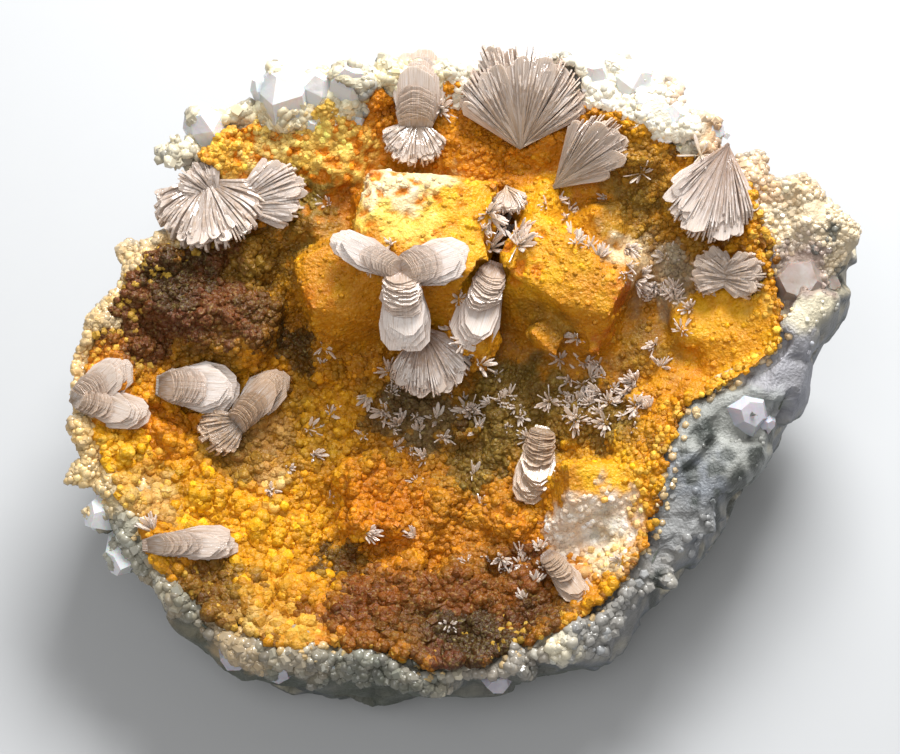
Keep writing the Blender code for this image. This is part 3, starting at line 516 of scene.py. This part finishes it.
# Outlines from root to tip, as (share of the length, near edge, far edge)
LEAVES = (
    ((0.0, -0.20, 0.20), (0.3, -0.36, 0.34), (0.62, -0.50, 0.47), (0.86, -0.40, 0.42), (1.0, -0.16, 0.05)),
    ((0.0, -0.18, 0.22), (0.3, -0.33, 0.38), (0.66, -0.47, 0.50), (0.9, -0.42, 0.30), (1.0, -0.24, 0.02)),
    ((0.0, -0.22, 0.18), (0.34, -0.40, 0.34), (0.7, -0.49, 0.45), (0.88, -0.26, 0.40), (1.0, -0.02, 0.22)),
)
WEDGES = (
    ((0.0, -0.07, 0.07), (0.5, -0.28, 0.27), (0.86, -0.47, 0.45), (0.97, -0.40, 0.34), (1.0, -0.18, 0.06)),
    ((0.0, -0.07, 0.07), (0.5, -0.25, 0.30), (0.8, -0.42, 0.48), (0.95, -0.44, 0.40), (1.0, -0.05, 0.30)),
    ((0.0, -0.07, 0.07), (0.5, -0.30, 0.26), (0.9, -0.50, 0.48), (0.96, -0.22, 0.42), (1.0, 0.02, 0.26)),
)


def lay_grain(shape):
    """Gives a plate the map that its growth lines follow."""
    layer = shape.loops.layers.uv.new("UVMap")
    for side in shape.faces:
        for loop in side.loops:
            loop[layer].uv = (loop.vert.co.x, loop.vert.co.z + 0.5)


def plate_shape(outline):
    """One plate of unit length and depth, with how far along it each point lies."""
    shape = bmesh.new()
    near = [shape.verts.new((along, -0.5, low)) for along, low, high in outline]
    far = [shape.verts.new((along, -0.5, high)) for along, low, high in reversed(outline)]
    face = shape.faces.new(near + far)
    grown = bmesh.ops.extrude_face_region(shape, geom=[face])
    raised = [part for part in grown["geom"] if isinstance(part, bmesh.types.BMVert)]
    bmesh.ops.translate(shape, verts=raised, vec=(0, 1, 0))
    bmesh.ops.recalc_face_normals(shape, faces=shape.faces)
    lay_grain(shape)
    mesh = bpy.data.meshes.new("plate")
    shape.to_mesh(mesh)
    shape.free()
    mesh.color_attributes.new("tint", "FLOAT_COLOR", "POINT")
    along = np.zeros(len(mesh.vertices) * 3)
    mesh.vertices.foreach_get("co", along)
    return mesh, along[::3].copy()


leaves = [plate_shape(outline) for outline in LEAVES]
wedges = [plate_shape(outline) for outline in WEDGES]


def add_shape(whole, mesh, place, colours):
    """Joins a placed and coloured copy of a small mesh to a bmesh."""
    layer = mesh.color_attributes["tint"]
    layer.data.foreach_set("color", np.c_[colours, np.ones(len(colours))].ravel())
    mesh.transform(place)
    whole.from_mesh(mesh)
    mesh.transform(place.inverted())


def lay_plate(whole, shapes, start, ahead, face, broad, thick, glow, chance, foot_colour):
    """Adds one plate that runs ahead from a start, with its face and its broad side across."""
    axes = Matrix((ahead, face * thick, broad)).transposed()
    place = Matrix.Translation(start * MM) @ (axes * MM).to_4x4()
    mesh, share = chance.choice(shapes)
    fade = (np.clip(share * 1.15, 0, 1) ** 1.3)[:, None]
    clear = min(1.0, glow)
    tip = np.array(linear(DULL_TIP)) * (1 - clear) + np.array(linear(CLEAR_TIP)) * clear
    colours = np.array(linear(foot_colour)) * (1 - fade) + tip * fade
    add_shape(whole, mesh, place, colours)


def grow_fan(whole, kind, root, tip, opening, depth, count, chance, pale, foot):
    """Adds the plates of one fan to a bmesh: a shell of thin upright plates over broad wedges,
    or a petal of pages that lie on each other with steeper short plates at their root."""
    root, tip = Vector(root), Vector(tip)
    along = (tip - root).normalized()
    spine = along.cross(FAN_FACING).normalized()
    if kind == "shell":
        spine = (FAN_FACING - along * along.dot(FAN_FACING)).normalized()
    across = spine.cross(along)
    start = root - along * FAN_START
    reach = (tip - root).length + FAN_START
    if kind == "shell":
        for number in range(count):
            side = number / (count - 1) * 2 - 1
            turned = Matrix.Rotation(math.radians(opening / 2 * side + chance.uniform(-1, 1)), 3, spine)
            ahead = turned @ along
            lean = Matrix.Rotation(math.radians(chance.uniform(-9, 9)), 3, ahead)
            length = reach * (1 - 0.24 * side * side) * chance.choice((1.0, 0.98, 0.94, 0.9, 0.84))
            thick = reach * math.radians(opening) / count * chance.uniform(0.5, 1.1)
            lay_plate(whole, leaves, start, ahead * length, lean @ turned @ across,
                      lean @ spine * depth * chance.uniform(0.7, 1.0), thick,
                      pale * chance.uniform(0.6, 1.1), chance, foot)
        fills = max(5, round(opening / 7))
        for number in range(fills * 2):
            side = (number % fills) / (fills - 1) * 2 - 1
            turned = Matrix.Rotation(math.radians(opening / 2 * side + chance.uniform(-3, 3)), 3, spine)
            ahead = turned @ along
            lean = Matrix.Rotation(math.radians(chance.uniform(-22, 22)), 3, ahead)
            length = reach * (1 - 0.24 * side * side) * chance.uniform(0.82, 1.0)
            broad = length * math.radians(opening / fills) * chance.uniform(1.3, 2.0)
            raised = start + spine * depth * chance.uniform(-0.05, 0.34)
            lay_plate(whole, wedges, raised, ahead * length, lean @ spine, -(lean @ turned @ across) * broad,
                      0.3, pale * chance.uniform(0.8, 1.0), chance, foot)
        return
    for number in range(PAGES):
        height = number / (PAGES - 1)
        turned = Matrix.Rotation(math.radians(6 * height - 8 + chance.uniform(-1, 1)), 3, spine)
        swung = Matrix.Rotation(math.radians(chance.uniform(-5, 5)), 3, across) @ turned
        length = reach * (1.03 - 0.16 * height) * chance.uniform(0.95, 1.0)
        lay_plate(whole, leaves, start + across * (height - 0.8) * 1.6, swung @ along * length,
                  swung @ across, swung @ spine * depth * (1.04 - 0.2 * height) * chance.uniform(0.93, 1.0),
                  chance.uniform(0.2, 0.36), pale * (0.85 + 0.2 * height), chance, foot)
    ridges = round(count * 1.3) - PAGES
    for number in range(ridges):
        rise = number / (ridges - 1)
        turn = 8 + (opening * 0.72 - 8) * rise
        turned = Matrix.Rotation(math.radians(turn + chance.uniform(-1, 1)), 3, spine)
        lean = Matrix.Rotation(math.radians(chance.uniform(-4, 4)), 3, turned @ along) @ turned
        length = reach * (0.66 - 0.40 * rise) / math.cos(math.radians(turn)) * chance.uniform(0.92, 1.0)
        lay_plate(whole, leaves, start, lean @ along * length, lean @ across,
                  lean @ spine * depth * (0.9 - 0.2 * rise) * chance.uniform(0.85, 1.0),
                  chance.uniform(0.04, 0.11), pale * (0.7 - 0.4 * rise), chance, foot)


def finish_piece(whole, name, material, nodes=()):
    """Makes an object of a bmesh, gives it its material and lets it ride on the stone."""
    thing = bpy.data.objects.new(name, bpy.data.meshes.new(name))
    whole.to_mesh(thing.data)
    whole.free()
    bpy.context.scene.collection.objects.link(thing)
    thing.data.materials.append(material)
    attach(thing, "root")
    if nodes:
        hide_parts(*nodes)
    return thing


glassy = Finish("hemimorphite")
ways = glassy.node("ShaderNodeTexCoord", "UV")
stretched = glassy.node("ShaderNodeMapping", "Vector", None, Vector=ways, Scale=(2.2, 24, 1))
lines = glassy.node("ShaderNodeTexNoise", "Fac", None, Vector=stretched, Scale=1.0, Detail=3.0)
streaked = glassy.mix(lines ** 5.0 * 4.0, glassy.tint(), BROWN_STREAK)
glassy.set(Base_Color=glassy.mix((1 - lines) ** 4.0 * 2.0, streaked, WHITE_STREAK), Roughness=0.18,
           IOR=1.62, Transmission_Weight=0.14, Subsurface_Weight=0.35, Subsurface_Scale=1.2 * MM,
           Subsurface_Radius=(1.0, 0.9, 0.8))
glassy.set(Normal=glassy.bump(lines, 0.14, 0.7))

chance = random.Random(FAN_SEED)
for node, sheaves in FANS.items():
    whole = bmesh.new()
    for sheaf in sheaves:
        grow_fan(whole, *sheaf, chance, *SHADES[node])
    finish_piece(whole, node + "_plates", glassy.material, (node,))


# The single crystals of the druse: small rounded grains grown on the crust, packed side by side
# over it and its edge. They are fine on the blocks and coarse along the lower left and bottom.
GRAIN_ZONES = (
    # x, y, z, reach in mm, smallest and largest grain radius in mm
    (-6, 12, 34, 16, 0.25, 0.45), (12, 10, 32, 16, 0.25, 0.45), (0, 28, 38, 26, 0.3, 0.6),
    (-36, 8, 30, 14, 0.35, 0.7), (-40, -10, 25, 12, 0.4, 0.9), (-30, -18, 19, 14, 0.45, 1.0),
    (-22, -28, 18, 12, 0.6, 1.2), (-6, -28, 18, 16, 0.5, 1.0), (10, -28, 19, 12, 0.4, 0.8),
    (-6, -12, 18, 18, 0.35, 0.7), (18, -14, 22, 12, 0.3, 0.6), (30, 2, 28, 14, 0.3, 0.6),
    (28, 20, 36, 14, 0.3, 0.6),
)


def rounded_grain(sides, smooth):
    """A short faceted grain of unit radius, lying in its own place."""
    shape = bmesh.new()
    bmesh.ops.create_cone(shape, cap_ends=True, segments=sides, radius1=0.8, radius2=1.0, depth=0.9)
    caps = [face for face in shape.faces if len(face.verts) == sides]
    top = max(caps, key=lambda face: face.calc_center_median().z)
    bmesh.ops.inset_individual(shape, faces=[top], thickness=0.4, depth=0.38)
    bmesh.ops.triangulate(shape, faces=shape.faces)
    for face in shape.faces:
        face.smooth = smooth
    mesh = bpy.data.meshes.new("grain")
    shape.to_mesh(mesh)
    shape.free()
    mesh.color_attributes.new("tint", "FLOAT_COLOR", "POINT")
    return mesh


def scatter(mesh, count, weigh, dice):
    """Random places on a mesh in mm, with which way they face and the colour there."""
    mesh.calc_loop_triangles()
    corners = np.zeros(len(mesh.loop_triangles) * 3, int)
    mesh.loop_triangles.foreach_get("vertices", corners)
    corners = corners.reshape(-1, 3)
    places, facing = points_of(mesh)
    colours = np.zeros(len(mesh.vertices) * 4)
    mesh.color_attributes["tint"].data.foreach_get("color", colours)
    colours = colours.reshape(-1, 4)[:, :3]
    first, second, third = (places[corners[:, side]] for side in range(3))
    area = np.linalg.norm(np.cross(second - first, third - first), axis=1)
    if callable(weigh):
        weight = area * weigh((first + second + third) / 3, facing[corners[:, 0]])
    else:
        weight = area * weigh[corners].mean(axis=1)
    chosen = dice.choice(len(corners), count, p=weight / weight.sum())
    one, two = dice.random((2, count, 1))
    inside = one + two > 1
    one, two = np.where(inside, 1 - one, one), np.where(inside, 1 - two, two)
    spots = first[chosen] + one * (second[chosen] - first[chosen]) + two * (third[chosen] - first[chosen])
    return spots, facing[corners[chosen, 0]], colours[corners[chosen, 0]]


def sow(name, mesh, shapes, count, weigh, size_at, seed, material, vary=0.12, sunk=0.55, lean=0.4,
        dye=None):
    """Joins many small crystals into one piece that grows on a mesh."""
    dice = np.random.default_rng(seed)
    spots, facing, colours = scatter(mesh, count, weigh, dice)
    if dye:
        colours = 0.45 * colours + 0.55 * np.array(linear(dye))
    sizes = size_at(spots) * (0.65 + 0.7 * dice.random(count))
    turns = dice.random(count) * math.tau
    leans = dice.normal(size=(count, 3)) * lean
    shades = 1 + dice.normal(size=count) * vary
    lights = dice.random(count)
    whole = bmesh.new()
    for index in range(count):
        way = Vector(facing[index] + leans[index])
        size = sizes[index] * MM
        stand = way.to_track_quat("Z", "Y").to_matrix().to_4x4() @ Matrix.Rotation(turns[index], 4, "Z")
        place = Matrix.Translation(Vector(spots[index]) * MM - way.normalized() * size * sunk)
        mesh_used = shapes[index % len(shapes)]
        colour = np.clip(colours[index] * shades[index], 0, 1)
        if lights[index] < 0.16:
            colour = np.clip(colour * (1.35, 1.45, 1.6), 0, 1)
        add_shape(whole, mesh_used, place @ stand @ Matrix.Scale(size, 4),
                  np.tile(colour, (len(mesh_used.vertices), 1)))
    return finish_piece(whole, name, material)


def grain_size(places):
    """Radius of the grains at each place, from the zone that it lies in."""
    size = np.full(len(places), 0.4)
    nearest = np.full(len(places), 9.0)
    for x, y, z, reach, small, large in GRAIN_ZONES:
        away = np.linalg.norm(places - (x, y, z), axis=1) / reach
        size = np.where(away < nearest, (small + large) / 2, size)
        nearest = np.minimum(nearest, away)
    return size


def grain_share(low, high):
    """How many grains stand at each place, between two heights of y in mm."""
    def weigh(places, facing):
        size = grain_size(places)
        on_top = np.clip(facing[:, 2] * 2 + 0.3, 0, 1)
        within = (places[:, 1] >= low) & (places[:, 1] < high)
        return within * on_top * (1 - 0.92 * smooth_share(places)) / size ** 1.5
    return weigh


grain_shapes = [rounded_grain(sides, smooth) for sides, smooth in ((5, True), (6, True), (5, False))]
GRAIN_BANDS = (
    # name, how many grains, from and to which y in mm, seed
    ("grains_front", 6200, -40, -16, 5), ("grains_middle", 6000, -16, 8, 6), ("grains_back", 5600, 8, 45, 7),
)
for name, count, low, high, seed in GRAIN_BANDS:
    sow(name, crust.data, grain_shapes, count, grain_share(low, high), grain_size, seed,
        druse.material)


# The sugar of the rim: fine white and cream quartz grains over the upper side of the rock,
# thickest along the top and where the rock meets the druse.
RIM_QUARTZ = (
    # foot, way it points, radius, length in mm
    ((-29.6, 27.4, 35.4), (-0.35, 0.25, 1.0), 2.6, 6.4), ((-20.4, 30.6, 37.6), (-0.10, 0.35, 1.0), 3.4, 7.4),
    ((-17.4, 31.6, 37.6), (0.45, 0.30, 1.0), 2.4, 6.0), ((-12.4, 31.4, 37.6), (0.15, 0.25, 1.0), 2.7, 8.0),
    ((-40.0, -15.8, 19.0), (-0.9, -0.30, 0.55), 2.4, 5.6), ((-37.6, -19.4, 17.2),
    (-0.7, -0.70, 0.35), 2.6, 6.0),
    ((-25.0, -31.0, 15.2), (-0.2, -0.9, 0.4), 2.2, 4.4), ((-20.6, -32.6, 14.8), (0.0, -0.9, 0.3), 2.4, 4.4),
    ((-14.6, -32.6, 14.6), (0.1, -0.9, 0.3), 2.6, 4.6), ((5.6, -34.0, 14.4), (0.1, -0.9, 0.4), 2.2, 4.4),
    ((12.4, -31.8, 16.0), (0.3, -0.7, 0.8), 2.0, 5.0), ((42.6, 9.0, 31.0), (-0.15, -0.35, 1.0), 3.8, 3.2),
    ((35.6, -6.2, 26.6), (0.2, -0.5, 0.8), 3.0, 3.6),
    ((22.0, 31.4, 38.6), (0.3, 0.3, 1.0), 2.4, 6.0),
    ((26.6, 27.4, 37.6), (0.5, 0.2, 1.0), 2.2, 5.2), ((18.4, 32.6, 38.6), (-0.2, 0.3, 1.0), 2.0, 5.6),
    ((31.4, 25.6, 36.4), (0.3, 0.5, 1.0), 1.9, 4.8), ((44.4, 15.6, 33.6), (0.4, 0.2, 1.0), 2.2, 4.6),
    ((25.0, 28.6, 35.4), (-0.4, -0.3, 1.0), 2.2, 5.4),
)
CRYSTAL_SPOTS = [(crystal[0], crystal[2]) for crystal in RIM_QUARTZ]
SUGAR_WHITE = (0.93, 0.90, 0.84, 1)
SUGAR_GRAINS = 5500


def rim_share(places, facing):
    """Quartz grains stand on the upper side of the rim, and none on the walls below it."""
    above = places[:, 2] - (26.5 + 0.33 * places[:, 1] + 0.03 * places[:, 0])
    broken = np.clip(np.linalg.norm(places[:, :2] - (36, -8), axis=1) / 12 - 0.6, 0.04, 1)
    for foot, radius in CRYSTAL_SPOTS:
        broken *= np.linalg.norm(places[:, :2] - foot[:2], axis=1) > radius * 0.7
    broken *= np.where((places[:, 1] > 8) | (places[:, 0] < -20), 1, 0.12 + 0.5 * (places[:, 1] < -26))
    return np.clip(above / 2, 0, 1) * np.clip(facing[:, 2] * 2 - 0.1, 0, 1) * broken


def rim_size(places):
    """Rim grains are coarse at the back and fine elsewhere."""
    return 0.38 + 0.3 * np.clip(abs(places[:, 1]) / 20 - 0.6, 0, 1) + 0.12 * (places[:, 0] < -20)


sugar = Finish("rim_sugar")
sugar.set(Base_Color=sugar.mix(sugar.grain(0.8) * 0.2, sugar.tint(), SUGAR_WHITE), Roughness=0.2)
sow("rim_sugar", rock.data, grain_shapes, SUGAR_GRAINS, rim_share, rim_size, 8, sugar.material,
    vary=0.1, sunk=0.4)


# The seam: a line of pale yellow crystal grains where the druse thins out and its edge meets the
# rock. They grew on both, so that no bare crack shows between them.
SEAM_GRAIN, SEAM_LOWEST, SEAM_OPEN = 0.46, 12, 9
SEAM_ROCK_DYE, SEAM_DRUSE_DYE = (214, 170, 78), (222, 176, 66)


def seam_share(mesh, tree, gap):
    """1 at the points of a mesh that lie closer than a gap in mm to another piece, and open on
    the side away from the middle of the hollow."""
    share = np.zeros(len(mesh.vertices))
    for point in mesh.vertices:
        if point.co.z > SEAM_LOWEST * MM and tree.find_nearest(point.co, gap * MM)[0] is not None:
            away = Vector((point.co.x, point.co.y - 5 * MM, 0)).normalized() + Vector((0, 0, 0.45))
            share[point.index] = tree.ray_cast(point.co + away * 0.1 * MM, away, SEAM_OPEN * MM)[0] is None
    return share


def seam_size(places):
    """The seam's grains are all alike in size."""
    return np.full(len(places), SEAM_GRAIN)


sow("seam_on_rock", rock.data, grain_shapes, 2400, seam_share(rock.data, tree_of(crust.data), 1.6),
    seam_size, 9, sugar.material, vary=0.15, sunk=0.2, dye=SEAM_ROCK_DYE)
sow("seam_on_druse", crust.data, grain_shapes, 2200, seam_share(crust.data, tree_of(rock.data), 1.3),
    seam_size, 10, druse.material, vary=0.15, sunk=0.2, dye=SEAM_DRUSE_DYE)


# The small sprays: stars of short white and clear blades that stand singly on the crust,
# mostly round the right block and on the floor of the hollow.
SPRAY_SPOTS = (
    # x, y in mm, how many blades, their length in mm
    (15.6, 3.9, 20, 2.4), (16.7, 2.4, 16, 2.0), (17.4, 0.6, 16, 2.0), (18.5, -1.4, 18, 2.2),
    (22.8, -0.1, 24, 2.4), (22.6, -4.1, 22, 2.4), (22.5, -7.0, 16, 2.0), (15.4, -4.5, 24, 2.6),
    (15.5, 12.9, 16, 2.0), (4.3, 14.1, 16, 1.8), (-4.3, -18.0, 24, 2.2), (-3.1, -7.9, 14, 1.8),
    (-8.1, -2.4, 16, 2.6), (-0.6, -5.4, 16, 1.8), (8.5, -21.7, 16, 2.0), (10.9, -20.3, 14, 1.8),
    (6.1, -21.7, 16, 2.0), (9.0, -27.1, 16, 1.8), (0.0, -30.0, 12, 1.6), (25.8, 1.1, 16, 2.0),
    (29.5, 6.7, 16, 1.8), (-15.0, 20.4, 14, 1.8), (18.3, 11.4, 22, 2.0), (21.6, 13.9, 26, 2.4),
    (23.1, 10.5, 24, 2.2), (25.4, 10.8, 26, 2.2), (27.8, 9.8, 28, 2.2), (30.8, 9.7, 26, 2.2),
    (6.8, 19.9, 22, 2.2), (7.7, 18.2, 16, 2.0), (9.9, -6.3, 16, 2.0), (-0.6, 0.9, 14, 1.8),
    (3.7, 0.5, 18, 2.2), (6.2, -1.4, 20, 2.4), (2.5, -2.2, 20, 2.4), (-6.2, -3.9, 20, 2.6),
    (13.7, 3.2, 16, 2.0), (14.9, 0.8, 16, 2.0), (12.4, -1.5, 20, 2.4), (19.7, -2.7, 20, 2.2),
    (19.0, -5.2, 18, 2.2), (25.3, 3.8, 14, 1.8), (28.1, 4.0, 14, 1.8), (-15.0, -2.7, 12, 1.8),
    (-19.8, -9.7, 14, 1.6), (-22.2, -12.5, 18, 1.8), (-14.9, -12.9, 12, 1.4), (-4.3, -10.5, 14, 1.6),
    (18.4, 2.2, 14, 1.8), (-1.2, 30.6, 14, 2.6), (23.8, 22.4, 12, 3.4), (30.6, 22.6, 16, 3.0),
    (-5.8, 8.4, 14, 1.6), (-7.5, 2.1, 22, 2.2), (-35.5, -19.9, 18, 2.6), (34.9, 8.6, 18, 2.0),
    (4.9, 16.4, 20, 3.2), (5.2, 13.8, 20, 3.2), (8.4, 15.4, 22, 3.4), (8.2, 13.0, 20, 3.2),
    (6.6, 18.4, 20, 3.0),
    (8.6, -13.9, 10, 1.4), (3.7, -13.6, 10, 1.4), (20.2, -23.5, 10, 1.6), (24.0, -19.0, 10, 1.6),
)
DENSE_PLACES = (
    # x, y in mm of the middle, spread to the sides and to the front and back, how many sprays
    (19, -2, 5, 4, 16), (7, -2, 8, 2.6, 14), (26, 9.5, 4.5, 2.4, 12), (-2, -4, 10, 4, 8), (6, -22, 7, 3, 10),
    (0, 0, 26, 22, 30), (14, 18, 8, 3, 6),
)
SPRAY_FOOT = (204, 180, 148)
HIGH_ABOVE = 80
ground = tree_of(crust.data)
spots = list(SPRAY_SPOTS)
for x, y, wide, deep, count in DENSE_PLACES:
    for number in range(count):
        spots.append((x + chance.gauss(0, wide / 2), y + chance.gauss(0, deep / 2), chance.randint(6, 16),
                      chance.uniform(1.1, 2.2)))
whole = bmesh.new()
for x, y, count, length in spots:
    foot, up, face, drop = ground.ray_cast(Vector((x, y, HIGH_ABOVE)) * MM, Vector((0, 0, -1)))
    if foot is None:
        continue
    swing = Vector((chance.uniform(-0.8, 0.8), chance.uniform(-0.8, 0.8), 0))
    for number in range(round(count * 1.5)):
        way = Vector((chance.gauss(0, 1), chance.gauss(0, 1), chance.gauss(0, 1))).normalized()
        ahead = (way + up * 0.7 + Vector((0, 0, 0.4)) + swing).normalized()
        face = ahead.orthogonal().normalized()
        face = Matrix.Rotation(chance.uniform(0, 6.3), 3, ahead) @ face
        reach = length * chance.uniform(0.4, 1.15)
        lay_plate(whole, leaves, foot / MM - up * 0.35, ahead * reach, face,
                  ahead.cross(face) * reach * chance.uniform(0.12, 0.24), 0.12, 0.8, chance,
                  SPRAY_FOOT)
needles = Finish("spray_needles")
needles.set(Base_Color=needles.tint(), Roughness=0.16, IOR=1.62, Transmission_Weight=0.08,
            Subsurface_Weight=0.6, Subsurface_Scale=0.8 * MM, Subsurface_Radius=(1.0, 0.9, 0.8))
finish_piece(whole, "small_sprays", needles.material)


# The clear quartz: stubby six-sided crystals, colourless to lavender, that grew along the rim
# of the hollow together with the rock.
QUARTZ_WHITE, QUARTZ_GREY, QUARTZ_MAUVE = (246, 244, 246), (180, 176, 190), (152, 128, 112)
QUARTZ_PALE, VEIL_WHITE = (212, 210, 222), (0.96, 0.95, 0.95, 1)
CLUSTER = 4
quartz = Finish("clear_quartz")
veil = quartz.grain(0.6)
quartz.set(Base_Color=quartz.mix(veil ** 2.0 * 0.7, quartz.tint(), VEIL_WHITE), Roughness=0.07,
           IOR=1.54, Transmission_Weight=0.3, Subsurface_Weight=0.3,
           Subsurface_Scale=2.0 * MM)
quartz.set(Normal=quartz.bump(veil, 0.25, 0.5))


def quartz_crystal(prism, blunt, lean):
    """A six-sided crystal of unit radius with uneven faces and a blunt end."""
    shape = bmesh.new()
    bmesh.ops.create_cone(shape, cap_ends=True, segments=6, radius1=1.0, radius2=0.96, depth=prism,
                          matrix=Matrix.Translation((0, 0, prism / 2)))
    top = max(shape.faces, key=lambda face: face.calc_center_median().z)
    bmesh.ops.inset_individual(shape, faces=[top], thickness=0.83 - blunt, depth=0.7)
    for corner in top.verts:
        corner.co += Vector((lean, lean * 0.6, lean * corner.co.x))
    for corner in shape.verts:
        corner.co.x *= 1 + 0.16 * math.sin(corner.co.y * 3)
    bmesh.ops.triangulate(shape, faces=shape.faces)
    mesh = bpy.data.meshes.new("crystal")
    shape.to_mesh(mesh)
    shape.free()
    mesh.color_attributes.new("tint", "FLOAT_COLOR", "POINT")
    return mesh


whole = bmesh.new()
for foot, way, radius, length in RIM_QUARTZ:
    tint = QUARTZ_WHITE if foot[1] > 25 or foot[0] < -35 else QUARTZ_PALE if foot[0] > 22 else QUARTZ_GREY
    tint = QUARTZ_MAUVE if 0 < foot[1] < 12 else tint
    for number in range(CLUSTER):
        share = 1.05 if number == 0 else chance.uniform(0.3, 0.55)
        astray = Vector((chance.gauss(0, 1), chance.gauss(0, 1), chance.gauss(0, 0.4))) * (number > 0)
        crystal = quartz_crystal(max(0.15, length / radius * chance.uniform(0.66, 0.8) - 0.6),
                                 chance.uniform(0.3, 0.55), chance.uniform(-0.15, 0.15))
        stand = (Vector(way) + astray * 0.32).to_track_quat("Z", "Y").to_matrix().to_4x4()
        place = Matrix.Translation((Vector(foot) + astray * radius * 0.62) * MM) @ stand
        place = place @ Matrix.Rotation(chance.uniform(0, 6), 4, "Z") @ Matrix.Scale(radius * share * MM, 4)
        add_shape(whole, crystal, place, np.tile(linear(tint), (len(crystal.vertices), 1)))
finish_piece(whole, "rim_crystals", quartz.material)


# The stand, light and camera: a plain pale floor, a soft light from above and behind, a weaker
# one from the front, and a camera that looks down at the specimen.
FLOOR_HALF = 1.2
FLOOR_GREYS = (0.46, 0.47, 0.48, 1), (0.43, 0.44, 0.45, 1)
floor_shape = bmesh.new()
bmesh.ops.create_grid(floor_shape, x_segments=1, y_segments=1, size=FLOOR_HALF)
floor = bpy.data.objects.new("floor", bpy.data.meshes.new("floor"))
floor_shape.to_mesh(floor.data)
floor_shape.free()
bpy.context.scene.collection.objects.link(floor)
paper = Finish("pale_floor")
paper.set(Base_Color=paper.mix(paper.grain(0.2) * 0.2, *FLOOR_GREYS), Roughness=0.9)
floor.data.materials.append(paper.material)

LAMPS = (
    # name, place in metres, power in watts, size in metres
    ("window", (0.06, 0.20, 0.28), 2.15, 0.15),
    ("filler", (-0.10, -0.22, 0.52), 1.2, 0.36),
)
LAMP_AIM = Vector((0, 0, 0.02))
ROOM_COLOUR, ROOM_STRENGTH = (1.0, 0.98, 0.96, 1), 0.30
for name, place, power, size in LAMPS:
    lamp = bpy.data.objects.new(name, bpy.data.lights.new(name, "AREA"))
    lamp.data.energy = power
    lamp.data.size = size
    lamp.location = place
    lamp.rotation_euler = (LAMP_AIM - lamp.location).to_track_quat("-Z", "Y").to_euler()
    bpy.context.scene.collection.objects.link(lamp)
room = bpy.data.worlds.new("room")
room.use_nodes = True
room.node_tree.nodes["Background"].inputs["Color"].default_value = ROOM_COLOUR
room.node_tree.nodes["Background"].inputs["Strength"].default_value = ROOM_STRENGTH
bpy.context.scene.world = room
bpy.context.scene.view_settings.view_transform = "Standard"

CAMERA_AIM = Vector((0, 0, 0.024))
CAMERA_AWAY = 0.262
CAMERA_HEIGHT = math.radians(62)
LENS, SENSOR = 85, 36
eye = bpy.data.objects.new("camera", bpy.data.cameras.new("camera"))
eye.data.lens = LENS
eye.data.sensor_width = SENSOR
eye.location = CAMERA_AIM + CAMERA_AWAY * Vector((0, -math.cos(CAMERA_HEIGHT), math.sin(CAMERA_HEIGHT)))
eye.rotation_euler = (CAMERA_AIM - eye.location).to_track_quat("-Z", "Y").to_euler()
bpy.context.scene.collection.objects.link(eye)
bpy.context.scene.camera = eye
